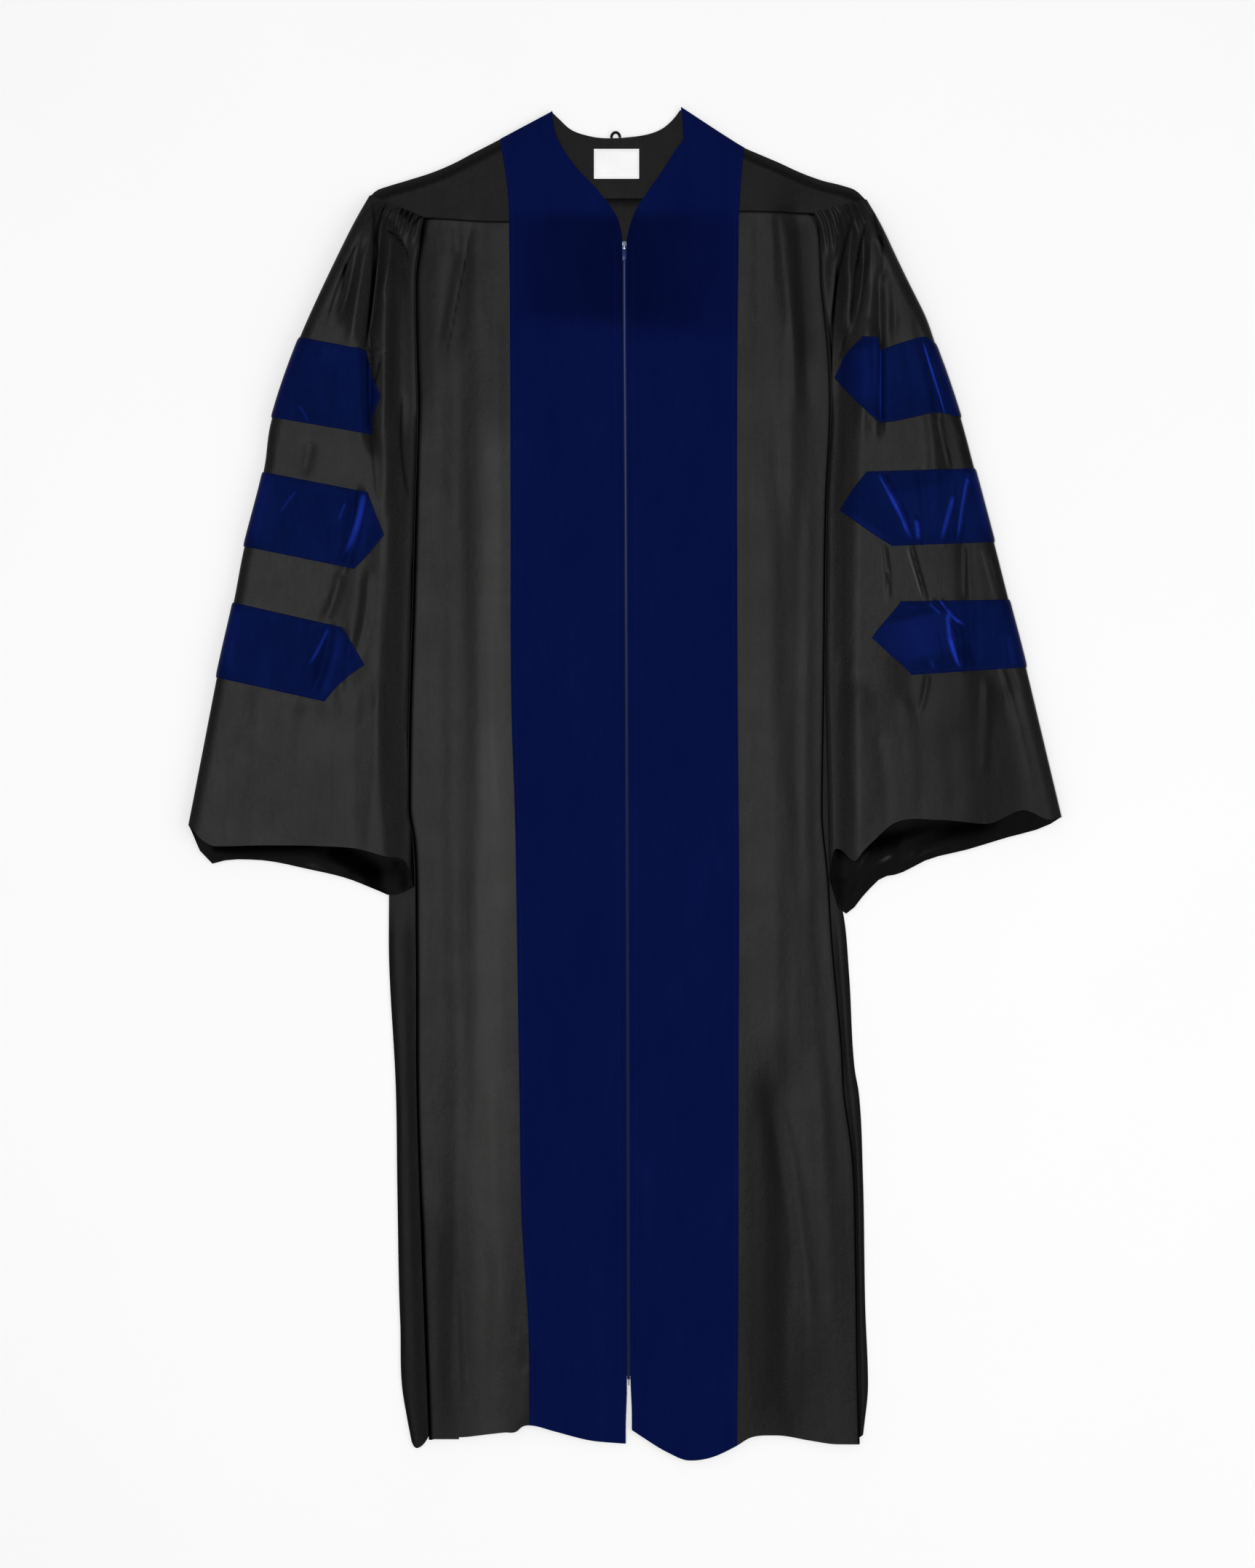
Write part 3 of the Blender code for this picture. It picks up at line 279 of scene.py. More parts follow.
SMALL_SLEEVE_CREASES = (
    (-232, 118, -219, 96, 0, -1.3, 2.6), (-226, 122, -210, 98, 0, -1.2, 2.4),
    (-219, 124, -206, 104, 0, -1.1, 2.2), (-240, 110, -228, 94, 0, -1.2, 2.4),
    (-258, 104, -266, 150, 1, -1.2, 2.6), (-280, 140, -298, 205, 1, -1.0, 3.5),
    (-236, 132, -250, 196, 3, 1.3, 4), (-259, 244, -257, 344, 0, -2.2, 2.4),
    (-268, 246, -268, 330, 0, 1.2, 4.5), (-226, 300, -240, 420, 4, -1.2, 6),
    (-230, 420, -222, 600, -3, -1.0, 6), (-244, 350, -236, 520, 3, 1.0, 7),
    (-268, 395, -284, 472, 3, 1.7, 3.2), (-276, 400, -292, 470, 3, -1.1, 4),
    (-346, 384, -330, 440, 2, 0.8, 5), (-318, 396, -300, 452, -2, -0.7, 6),
    (-300, 532, -318, 600, 3, 1.4, 3.6), (-310, 536, -332, 598, 2, -1.0, 5),
    (-286, 536, -290, 604, 0, 0.9, 4), (-340, 258, -350, 318, 0, 0.7, 5), (-300, 262, -304, 326, 1, -0.6, 7),
    (-320, 344, -326, 376, 0, -0.7, 6), (-290, 480, -306, 526, 2, 1.0, 5), (-262, 480, -278, 570, 4, 1.1, 5),
    (-250, 600, -262, 770, 2, 1.4, 7), (-274, 606, -276, 760, -2, -1.4, 8), (-300, 640, -312, 752, 2, 1.2, 9),
    (-336, 606, -344, 700, 0, -0.9, 9), (-372, 600, -386, 730, 3, 1.0, 10),
    (-402, 640, -414, 742, 0, -1.2, 8), (-420, 690, -432, 742, 0, 1.4, 6), (-226, 620, -226, 760, 0, -1.6, 6),
    (222, 112, 214, 160, 1, 1.3, 2.6), (236, 104, 230, 170, 2, -1.5, 3), (250, 108, 246, 180, 2, 1.4, 3),
    (228, 96, 244, 118, 2, -1.3, 2.4), (219, 98, 232, 122, 2, -1.2, 2.4), (211, 102, 222, 124, 2, -1.1, 2.2),
    (204, 106, 213, 126, 1, -1.0, 2.2), (268, 128, 274, 236, 3, -1.2, 4.5), (284, 150, 292, 234, 2, 1.1, 5),
    (222, 240, 214, 300, 2, -1.6, 4), (226, 300, 214, 420, 3, 1.0, 7), (256.5, 236, 256, 330, 0, 1.9, 2.6),
    (261, 240, 261.5, 330, 0, -1.6, 2.4), (249, 262, 251, 322, 0, 0.9, 3), (305, 238, 322, 318, 0, 1.6, 1.7),
    (318, 250, 328, 318, 0, 1.0, 1.8), (310, 240, 318, 316, 0, -0.7, 3), (320, 322, 330, 366, 0, 1.1, 1.7),
    (334, 330, 344, 366, 0, 0.9, 1.6), (264, 380, 280, 430, 2, 1.0, 2), (276, 400, 292, 446, 1, 1.1, 1.7),
    (296, 420, 300, 446, 0, 0.9, 1.6), (336, 384, 324, 444, 0, 1.2, 1.8), (352, 378, 340, 444, 0, 1.1, 1.7),
    (362, 384, 372, 440, 0, 1.0, 1.8), (300, 374, 306, 420, 0, -0.8, 4), (292, 452, 306, 502, 0, 1.1, 1.8),
    (264, 452, 268, 500, 1, 0.9, 1.8), (346, 452, 346, 500, 0, 0.8, 1.8), (366, 454, 380, 502, 0, 1.1, 1.7),
    (376, 452, 388, 500, 0, 0.8, 1.6), (314, 506, 338, 536, 2, 1.1, 1.6), (322, 506, 344, 534, 1, 0.9, 1.6),
    (338, 530, 342, 574, 2, 1.7, 2.2), (316, 540, 322, 576, 1, 0.9, 2), (384, 520, 388, 572, 0, 0.9, 1.7),
    (350, 520, 356, 572, 0, -0.8, 4), (384, 576, 412, 680, 2, 1.2, 3), (400, 580, 424, 660, 1, 1.0, 2.6),
    (308, 582, 300, 618, 1, 0.9, 3), (368, 590, 364, 680, 1, 1.2, 5), (286, 610, 292, 716, 3, 1.1, 8),
    (330, 640, 338, 724, 0, -1.2, 9), (258, 640, 268, 736, 2, -1.3, 8), (220, 560, 218, 740, 0, -1.2, 6),
    (414, 640, 430, 716, 1, -1.0, 6),
)
# Painted highlights on the velvet bars along their folds, and painted shade where a fold lies dark.
BAR_PAINTED_HIGHLIGHTS_AND_SHADE = (
    (296, 522, 306, 565, 0, 0.2, 40), (300, 390, 312, 440, 0, 0.12, 50), (240, 250, 240, 305, 0, 0.16, 13),
    (259.4, 235, 259.4, 321, 0, 0.8, 1.3), (253, 235, 254, 318, 0, 0.12, 5),
    (304.2, 246, 325.2, 315, 0, 0.72, 1), (316, 250, 335, 315, 0, 0.1, 6),
    (325, 262, 338.6, 308, 0, 0.4, 1.1), (260, 380, 289, 438, 1, 0.72, 1.2), (268, 386, 286, 434, 1, 0.12, 3),
    (296.5, 424, 298.4, 442, 0, 0.64, 1.2), (333, 401, 322.5, 442, 0, 0.64, 1.1),
    (348, 380, 338.6, 440, 0, 0.64, 1.2), (354, 376, 369, 442, 0, 0.17, 4), (230, 419, 264, 442, 0, 0.12, 4),
    (310, 508, 321, 518, 0, 0.39, 1.6), (321, 505, 344, 530, -2, 0.56, 1.2),
    (329, 518, 341, 572, -4, 0.5, 2.2), (331, 545, 339, 570, 0, 0.33, 1.8), (390, 541, 396, 572, 0, 0.17, 3),
    (312, 565, 314, 574, 0, 0.33, 1.6), (281, 508, 298, 514, 0, 0.12, 3),
    (-263, 240, -262, 334, 0, -0.8, 1.3), (-259.6, 268, -259.6, 306, 0, 0.4, 1),
    (-331, 243, -355, 320, 0, 0.14, 5), (-331, 307, -322, 322, 0, 0.28, 1.5),
    (-266, 398, -283, 456, 2, 0.55, 2.6), (-260, 411, -275, 460, 0, 0.14, 6),
    (-285, 406, -291, 423, 0, 0.4, 1.2), (-335, 394, -351, 415, 0, 0.28, 1.5),
    (-364, 377, -378, 444, 0, 0.17, 6), (-302, 535, -320, 568, 1, 0.44, 2),
    (-291, 543, -308, 601, 2, 0.16, 4), (-281, 576, -293, 597, 0, 0.12, 3),
    (-395, 514, -407, 576, 0, 0.17, 7),
)
# Painted glints and painted shade on the sleeves' cloth, along its folds and in broad patches.
SLEEVE_PAINTED_GLINTS_AND_SHADE = (
    (216, 163, 209, 281, 0, -0.7, 1.8), (231, 118, 209, 235, -3, -0.6, 1.8),
    (244, 125, 230, 222, -3, -0.75, 2), (253, 97, 265, 154, -3, -0.7, 1.8),
    (261, 125, 262, 180, 0, -0.5, 1.8), (228, 225, 218, 262, 0, -0.5, 1.8),
    (283, 178, 287, 236, 0, -0.28, 17), (236, 170, 222, 225, 0, 0.22, 3), (252, 165, 238, 238, 0, 0.2, 5),
    (-223, 97, -229.6, 112, 0, -0.8, 1.8), (-216, 97, -225, 116, 0, -0.8, 2),
    (-211, 101, -221, 120, 0, -0.8, 2), (-204, 108, -217, 122, 0, -0.8, 2),
    (-242, 129, -221, 157, 5, -0.7, 1.8), (-244, 103, -252, 150, -4, -0.7, 1.8),
    (-252, 150, -265, 252, 0, -0.75, 2.1), (-256, 103, -261, 222, 2, -0.6, 1.8),
    (-272, 141, -303, 222, -3, -0.6, 2), (-284, 163, -288, 190, 0, -0.5, 1.7),
    (-249, 262, -259, 306, 0, -0.6, 2), (-259, 335, -253, 400, 0, -0.5, 2.1),
    (-227, 300, -221, 400, -4, -0.6, 2.1), (-216, 480, -219, 805, 4, -1, 3.5),
    (318, 250, 372, 520, 0, -0.36, 42), (330, 520, 384, 800, 0, -0.42, 62),
    (317.6, 315, 329, 350, 0, 0.6, 0.9), (333, 327, 342.5, 346, 0, 0.5, 0.9), (287, 453, 302, 501, 0, 0.7, 1),
    (268, 472, 273.5, 499, 0, 0.5, 0.9), (342.5, 461, 340.6, 499, 0, 0.4, 0.9),
    (363.5, 457, 375, 501, 0, 0.7, 0.9), (371, 461, 382.7, 501, 0, 0.6, 0.9),
    (381, 576, 386.5, 595, 0, 0.3, 0.9), (396, 576, 403.7, 595, 0, 0.5, 0.9),
)
# Painted shade in the hollows of the sleeve mouths, and painted light on the folds inside them.
MOUTH_SHADE = (
    (-232, 768, -224, 802, 0, -0.7, 8), (208, 765, 222, 815, 0, -0.55, 7), (225, 790, 240, 800, 0, -0.4, 5),
    (-424, 753, -300, 753, 0, -1.0, 12), (-300, 756, -245, 790, 0, -1.0, 16),
    (-262, 800, -238, 812, 0, -0.8, 8), (-330, 772, -285, 780, 0, 0.35, 4), (-276, 784, -266, 796, 0, 0.3, 3),
    (-432, 760, -405, 768, 0, 0.3, 3), (200, 756, 260, 750, 0, -1.0, 14), (260, 750, 384, 730, 0, -0.9, 12),
    (284, 752, 322, 740, 0, 0.55, 5), (237, 772, 271, 766, 0, 0.9, 1.6), (285, 766, 332, 754, 0, 0.3, 3),
)
# Where the bands' velvet is a little darker, below the neck.
BAND_SHADE = (
    (-58, 110, -56, 225, 0, -0.37, 90), (58, 110, 56, 240, 0, -0.33, 90),
)
# Folds on the hidden sides: in the sleeves' lower layer, and dents in the back's underside.
UNDER_CREASES = (
    (-262, 500, -300, 790, 6, 1.1, 9), (-330, 420, -352, 780, -5, 0.8, 10), (-385, 560, -398, 770, 0, 0.9, 8),
    (-270, 180, -285, 420, 4, 0.9, 9), (-310, 300, -330, 470, 0, 0.7, 8), (258, 480, 300, 770, -6, 1.1, 9),
    (322, 430, 350, 760, 5, 0.8, 10), (372, 540, 398, 745, 0, 0.9, 8), (262, 170, 280, 420, -4, 0.9, 9),
    (300, 300, 326, 460, 0, 0.7, 8),
)
BACK_CREASES = (
    (-150, 120, -172, 640, 8, 0.7, 12), (-70, 118, -92, 900, -6, 0.6, 14), (18, 125, 30, 720, 5, 0.7, 11),
    (96, 118, 120, 1010, -7, 0.6, 15), (160, 122, 182, 560, 0, 0.7, 10), (-120, 800, -140, 1340, 6, 0.7, 16),
    (-10, 900, -22, 1350, 0, 0.6, 15), (70, 1050, 84, 1350, 0, 0.7, 13), (150, 760, 168, 1345, -6, 0.6, 16),
)
# Painted light and painted shade on the front cloth: broad pale and dark places, where it lies a little up or
# down.
FRONT_SHADE = (
    (-130, 330, -134, 720, 0, 0.36, 20), (-132, 700, -152, 1500, 0, 0.36, 32),
    (-205, 115, -204, 330, 0, -0.40, 14), (-158, 133, -183, 262, 0, -0.5, 1.3),
    (-165, 150, -190, 250, 0, -0.16, 12), (-190, 1130, -168, 1380, 0, -0.36, 30),
    (178, 118, 186, 262, 0, -0.42, 14), (186, 250, 190, 520, 0, -0.18, 16),
    (150, 985, 142, 1375, 0, -0.42, 24), (196, 1240, 176, 1375, 0, -0.30, 22),
    (147, 930, 194, 1240, 4, 0.12, 14),
)
# How far the first right bar's top and bottom edges stray from straight: x and drop.
BAR_TOP_WAVE = (
    (212, 5), (235, 7), (258, 7), (260, 8.5), (269, 4.5), (288, -2.5), (305, -7), (317, 0), (330, 3),
)
BAR_FOOT_WAVE = ((240, 0), (269, 0), (292, -3.5), (317, -7.5), (343, -2), (356, 0))

# The drops between which the panels' rows are laid.
FRONT_ROWS = (118, 1364)
BACK_ROWS = (100, 1364)

# The zip, its slider and its pull tab.
ZIP_HALF_WIDTH = 1.3
TEETH_HEIGHT = 2.0
TEETH_MIDDLE = FRONT_LOW + 1.2
SLIDER_DROP = 142.5
SLIDER_LENGTH = 9.0
SLIDER_WIDTH = 4.6
SLIDER_PLATE = 0.8
SLIDER_BASE = 0.6
SLIDER_TOP = 6.3
POST_WIDTH = 1.2
POST_TOP = 0.3
POST_FOOT = 2.4
BRIDGE_WIDTH = 1.4
BRIDGE_LENGTH = 4.6
BRIDGE_FOOT = 0.8
BRIDGE_ROOM = 1.6
PIN_RADIUS = 0.5
PULL_LENGTH = 15.0
PULL_WIDTH = 4.4
PULL_THICKNESS = 0.9
PULL_ARM = 0.9
PULL_EYE = 3.2
PIVOT_HEIGHT = SLIDER_TOP + GAP + PIN_RADIUS

# The label and the hanger loop.
LABEL_WIDTH = 46.0
LABEL_DEPTH = 30.4
LABEL_X = -8.6
LABEL_DROP = 43.0
LOOP_X = -9.6
LOOP_WIDTH = 8.6
LOOP_RISE = 5.2
LOOP_RADIUS = 1.1
LOOP_GAP = 0.6

# What only the scene has: the pile, the teeth and the cloth's gloss.
VELVET_ROUNDING = 0.7
SEAM_SPREAD = 30.0
SEAM_ROWS = 10
BAR_CUTS = (0.22, 0.25, 0.25)
TOOTH_PITCH = 1.3
TOOTH_SIZE = 0.45
TOOTH_REACH = 0.8
TOOTH_PLACE = 0.36
TAPE_STEP = 6.0
TAPE_HEIGHT = FRONT_LOW + 0.5
TAPE_HALF = 0.3
SHEEN_CLOTH = 0.03
GLOSS_CLOTH = 0.078
TWILL_SCALE = 420.0
CRUMPLE_HEIGHT = 0.0007

# The studio, in metres and watts.
FLOOR_HEIGHT = -0.0008
WORLD_LIGHT = 0.36
KEY_WATTS = 290.0
FILL_WATTS = 16.0
SENSOR = 36.0
CAMERA_HEIGHT = 4.0
VIEW_LENGTH = 1.5998
AIM_HEIGHT = 0.006
CAMERA_CENTRE = (0.0026, -0.0007)

# The scene's own loft, the strength of its folds and its painted light and shade.
FRONT_LOFT = 2.5
HEM_LOFT = 0.7
FRONT_GAIN = 0.95
SLEEVE_GAIN = 1.35
SEAM_SLIT = 0.03
HEAD_SLIT = 0.2
FOLD_SHADE = 0.5
FOLD_SHADE_LOWER = 0.5
EDGE_SHADE_WIDTH = 2.5
LOWER_CALM = 0.7
CALM_START = 585.0
CALM_EASE = 60.0
FOLD_SHADE_WIDTHS = (2.5, 6.5)
MIDDLE_TIP = (0, 0.25, 0.5, 0.75, 1)
LOW_TIP = (0, 0.3, 0.6, 0.8, 1)
SEAM_SHADE = 0.75
SEAM_SHADE_WIDTH = 2.4
SHOULDER_LIGHT = 0.25
SHOULDER_LIGHT_WIDTH = 11.0
DENT_MOST = 0.8
HIDDEN_WAVE_END = 0.2
RIM_POINTS = 2
ROW_NUDGE = 0.001
FOLDS_CLEAR = 0.2
FOLD_SHADE_START = 260.0
FOLD_SHADE_RUN = 160.0
CREASE_START = 0.2
CREASE_LEAD = 0.6
CREASE_END = 1.15
CREASE_EASE = 0.35
LAP = 0.2
LABEL_INSET = 1.6
HEM_STITCH = {"pitch": 7.0, "length": 1.6}
BACK_YOKE_ROWS = 16

# Rows from one sleeve line to the next, and the columns of each stretch across.
SLEEVE_STEPS = (20, 30, 40, 20, 40, 20, 40, 44)
INNER_COLUMNS = 36
BAR_COLUMNS = 90
ROUND_COLUMNS = 6
LOWER_ROUND_COLUMNS = 5
LOWER_COLUMNS = 10
VELVET_COLUMNS = 30
FRONT_COLUMNS = 34
ROLL_ANGLES = (75, 55, 35, 15, -5, -30, -60, -90)
TURN_COLUMNS = 4
YOKE_ROW_COUNT = 36
ROW_STEP = 4.0
BACK_ROW_STEP = 8.0
BACK_COLUMN_COUNT = 60
STRIP_FOLD = ((0, 0), (0.15, 1.5), (0.45, 2.0), (0.8, 0.6), (1, 0))
STRIP_COLUMNS = 9
STRIP_START = 800.0
STRIP_EASE = 60.0

# The step in the first right bar, where a fold takes some velvet out of sight.
BAR_STEP_X = 259.0
BAR_STEP_WIDTH = 3.0
BAR_STEP_DROP = -12.0


def curve(points):
    """Gives a smooth function through a table's points, with no overshoot between them."""
    xs = np.array([p[0] for p in points], float)
    ys = np.array([p[1] for p in points], float)
    steps = np.diff(ys) / np.diff(xs)
    slopes = np.concatenate([[steps[0]], (steps[1:] + steps[:-1]) / 2, [steps[-1]]])
    slopes[1:-1][steps[:-1] * steps[1:] <= 0] = 0

    def at(x):
        x = np.clip(x, xs[0], xs[-1])
        i = np.clip(np.searchsorted(xs, x) - 1, 0, len(xs) - 2)
        h = xs[i + 1] - xs[i]
        t = (x - xs[i]) / h
        start = ys[i] * (1 + 2 * t) * (1 - t) ** 2 + slopes[i] * h * t * (1 - t) ** 2
        return start + ys[i + 1] * t * t * (3 - 2 * t) + slopes[i + 1] * h * t * t * (t - 1)

    return at


def ease(t):
    """Rises smoothly from 0 to 1."""
    t = np.clip(t, 0.0, 1.0)
    return t * t * (3 - 2 * t)


def crease_height(creases, x, drop):
    """Adds up the troughs and ridges that pass near each point."""
    total = np.zeros(np.broadcast(x, drop).shape)
    for x0, drop0, x1, drop1, bow, depth, half_width in creases:
        along_x, along_drop = x1 - x0, drop1 - drop0
        length = math.hypot(along_x, along_drop)
        t = ((x - x0) * along_x + (drop - drop0) * along_drop) / length**2
        side = ((x - x0) * along_drop - (drop - drop0) * along_x) / length
        side = side - bow * 4 * t * (1 - t)
        fade = ease(t / CREASE_START + CREASE_LEAD) * ease((CREASE_END - t) / CREASE_EASE)
        total += depth * fade * np.exp(-((side / half_width) ** 2))
    return total


def normals(points):
    """Works out the outward direction at each point of a grid."""
    along = np.gradient(points, axis=0)
    across = np.gradient(points, axis=1)
    out = np.cross(across, along)
    return out / np.linalg.norm(out, axis=2, keepdims=True)


def to_metres(points):
    points = np.asarray(points, float)
    return np.stack([points[..., 0], CENTRE_DROP - points[..., 1], points[..., 2]], axis=-1) * MM


def shown(name, bm, look, body="gown", slot="gown_cloth", smooth=35.0, inside=None):
    """Turns a bmesh into a named piece with its look, riding on a body."""
    bmesh.ops.recalc_face_normals(bm, faces=bm.faces)
    mesh = bpy.data.meshes.new(name)
    bm.to_mesh(mesh)
    bm.free()
    mesh.shade_smooth()
    mesh.set_sharp_from_angle(angle=math.radians(smooth))
    mesh.materials.append(look)
    if inside:
        mesh.materials.append(inside)
    piece = bpy.data.objects.new(name, mesh)
    bpy.context.collection.objects.link(piece)
    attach(piece, body)
    return piece


def cloth(name, inner, outer, look, slot, closed_from=None, inside=None, shine=None, inner_shine=None):
    """Makes a thin shell of cloth from the points of its two faces, a tube from a given row on.

    The inner face may take a darker copy of the look, as painted shade, and the painted light arrays say where
    each face is painted pale or dark.
    """
    rows, columns = inner.shape[:2]
    bm = bmesh.new()
    bmesh.ops.create_grid(bm, x_segments=columns - 1, y_segments=rows - 1, size=1)
    place = bm.verts.layers.int.new("place")
    low = to_metres(inner.reshape(-1, 3)).tolist()
    high = to_metres(outer.reshape(-1, 3)).tolist()
    painted_light_layer = bm.verts.layers.float.new("shine")
    plain = np.zeros((rows, columns))
    first, second = (np.clip(plain if s is None else s, -1, 1).ravel() for s in (inner_shine, shine))
    for i, vert in enumerate(bm.verts):
        vert[place] = i
        vert[painted_light_layer] = first[i]
        vert.co = low[i]
    if closed_from is not None:
        bm.verts.ensure_lookup_table()
        last = columns - 1
        pairs = {bm.verts[r * columns + last]: bm.verts[r * columns] for r in range(closed_from, rows)}
        bmesh.ops.weld_verts(bm, targetmap=pairs)
    raised = set(bmesh.ops.extrude_face_region(bm, geom=bm.faces[:])["geom"])
    for vert in raised:
        if isinstance(vert, bmesh.types.BMVert):
            vert[painted_light_layer] = second[vert[place]]
            vert.co = high[vert[place]]
    if inside:
        for face in bm.faces:
            face.material_index = int(face not in raised)
    return shown(name, bm, look, slot=slot, inside=inside)


def shell(name, node, points, out, look, slot="gown_cloth", low=-HALF, high=HALF, **more):
    """Makes one sewn piece of cloth about a grid of points, in place of the part's node."""
    piece = cloth(name, points + out * low, points + out * high, look, slot, **more)
    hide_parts(node)
    return piece


def seam_shade(off_seam):
    """The dark line beside a yoke seam."""
    return -SEAM_SHADE * ease(1 - off_seam / SEAM_SHADE_WIDTH)


def bar_rows(number):
    """The first and the last sleeve row of a velvet bar."""
    return sum(SLEEVE_STEPS[:2 * number]), sum(SLEEVE_STEPS[:2 * number + 1])


def zip_x(drop):
    return curve(ZIP_LINE)(drop)


def inner_edge(side, drop):
    """The front edge: along the V of the neck, then beside the zip, then along the slit."""
    if drop <= ZIP_TOP:
        return side.sign * max(curve(side.neck)(drop), side.sign * (zip_x(drop) + side.sign * ZIP_SLOT))
    opening = ZIP_SLOT + SLIT_OPENING * ease((drop - SLIT_TOP) / SLIT_EASE)
    return zip_x(drop) + side.sign * opening


def front_middle(side, x, drop, from_shoulder):
    """Height of the middle of the front layer's cloth."""
    fold = curve(side.fold)(np.maximum(drop, side.fold[0][0]))
    top_start = fold - ROLL_RADIUS - ROLL_RAMP
    away = np.abs(x)
    lifted = FRONT_MIDDLE + PLATEAU * ease((away - PLATEAU_START) / PLATEAU_WIDTH)
    ramp = ease((away - top_start) / ROLL_RAMP)
    lifted += (ROLL_TOP - FRONT_MIDDLE - PLATEAU) * ramp
    loft = FRONT_LOFT + (HEM_LOFT - FRONT_LOFT) * ease((drop - HEM_SWAY_TOP) / (HEM_MEAN - HEM_SWAY_TOP))
    lifted += loft * ease((away - PLATEAU_START) / PLATEAU_WIDTH) * (1 - ramp)
    folds = crease_height(FRONT_CREASES, x, drop) + crease_height(SMALL_FRONT_CREASES, x, drop) * FRONT_GAIN
    folds += crease_height(VELVET_CREASES, x, drop) + crease_height(BROAD_CREASES, x, drop)
    lifted += folds * ease((fold - away) / CREASES_END)
    least = np.where(away > top_start - 4, LEAST_OVER_TURN, FRONT_MIDDLE)
    lifted = np.maximum(lifted, least)
    return UNDER_MIDDLE + (lifted - UNDER_MIDDLE) * ease(SHOULDER_START + from_shoulder / SHOULDER_EASE)


def patch(top, bottom, left, right, f, t):
    """A point inside four edges, each given as a function from 0 to 1."""
    point = (1 - t) * top(f) + t * bottom(f) + (1 - f) * left(t) + f * right(t)
    corners = (1 - f) * ((1 - t) * left(0) + t * left(1)) + f * ((1 - t) * right(0) + t * right(1))
    return point - corners


def yoke_rows(side):
    """Rows of plan points from the shoulder line to the yoke seam."""
    velvet = curve(side.velvet)
    shoulder, seam = curve(side.shoulder), curve(side.seam)
    tip_drop = side.shoulder[0][1]
    end_x, end_drop = side.shoulder[-1]
    band_x = side.velvet[0][1]
    seam_neck = side.seam[0][1]
    corner_x, corner_drop = side.seam[-1]
    band_seam_x = velvet(seam(120))

    def neck_edge(t):
        drop = tip_drop + (seam_neck - tip_drop) * t
        return np.array([abs(inner_edge(side, drop)), drop])

    def band_edge(t):
        drop = shoulder(band_x) + (seam(band_seam_x) - shoulder(band_x)) * t
        return np.array([velvet(drop), drop])

    def shoulder_line(x0, x1):
        return lambda f: np.array([x0 + (x1 - x0) * f, shoulder(x0 + (x1 - x0) * f)])

    def seam_line(x0, x1):
        return lambda f: np.array([x0 + (x1 - x0) * f, seam(x0 + (x1 - x0) * f)])

    def arm_edge(t):
        return np.array([end_x + (corner_x - end_x) * t, end_drop + (corner_drop - end_drop) * t])

    inner_x = neck_edge(1)[0]
    band_top_x = velvet(shoulder(band_x))
    band_top, band_foot = shoulder_line(neck_edge(0)[0], band_top_x), seam_line(inner_x, band_seam_x)
    under_band = (band_top, band_foot, neck_edge, band_edge)
    outside = (shoulder_line(band_top_x, end_x), seam_line(band_seam_x, corner_x), band_edge, arm_edge)
    rows = []
    for t in np.linspace(0, 1, YOKE_ROW_COUNT):
        row = [patch(*under_band, k / VELVET_COLUMNS, t) for k in range(VELVET_COLUMNS)]
        row += [patch(*outside, k / FRONT_COLUMNS, t) for k in range(FRONT_COLUMNS + 1)]
        row = np.array(row)
        rows.append(np.stack([side.sign * row[:, 0], row[:, 1] - GAP], axis=-1))
    return rows


def panel_rows(side):
    """Rows of plan points from the yoke seam to the hem."""
    velvet, fold = curve(side.velvet), curve(side.fold)
    seam, hem = curve(side.seam), curve(side.hem)
    first, last = FRONT_ROWS
    count = round((last - first) / ROW_STEP)
    rows = []
    for i, drop in enumerate(np.linspace(first, last, count + 1)):
        level = side.seam[-1][1] if i == 0 else drop
        near_seam = ease((drop - first) / SEAM_SPREAD) if i < SEAM_ROWS else 1.0
        neck_top = side.seam[0][1] + GAP / 2
        start = inner_edge(side, neck_top + (level - neck_top) * near_seam)
        band = side.sign * velvet(level)
        end = side.sign * (fold(level) - ROLL_RADIUS)
        xs = np.concatenate([
            start + (band - start) * np.arange(VELVET_COLUMNS) / VELVET_COLUMNS,
            band + (end - band) * np.arange(FRONT_COLUMNS + 1) / FRONT_COLUMNS,
        ])
        sink = ease((drop - HEM_SWAY_TOP) / (HEM_MEAN - HEM_SWAY_TOP)) ** 2
        here = drop + sink * (hem(np.abs(xs)) - HEM_MEAN)
        top = seam(np.abs(xs)) + GAP / 2
        rows.append(np.stack([xs, top + (here - top) * near_seam], axis=-1))
    return rows


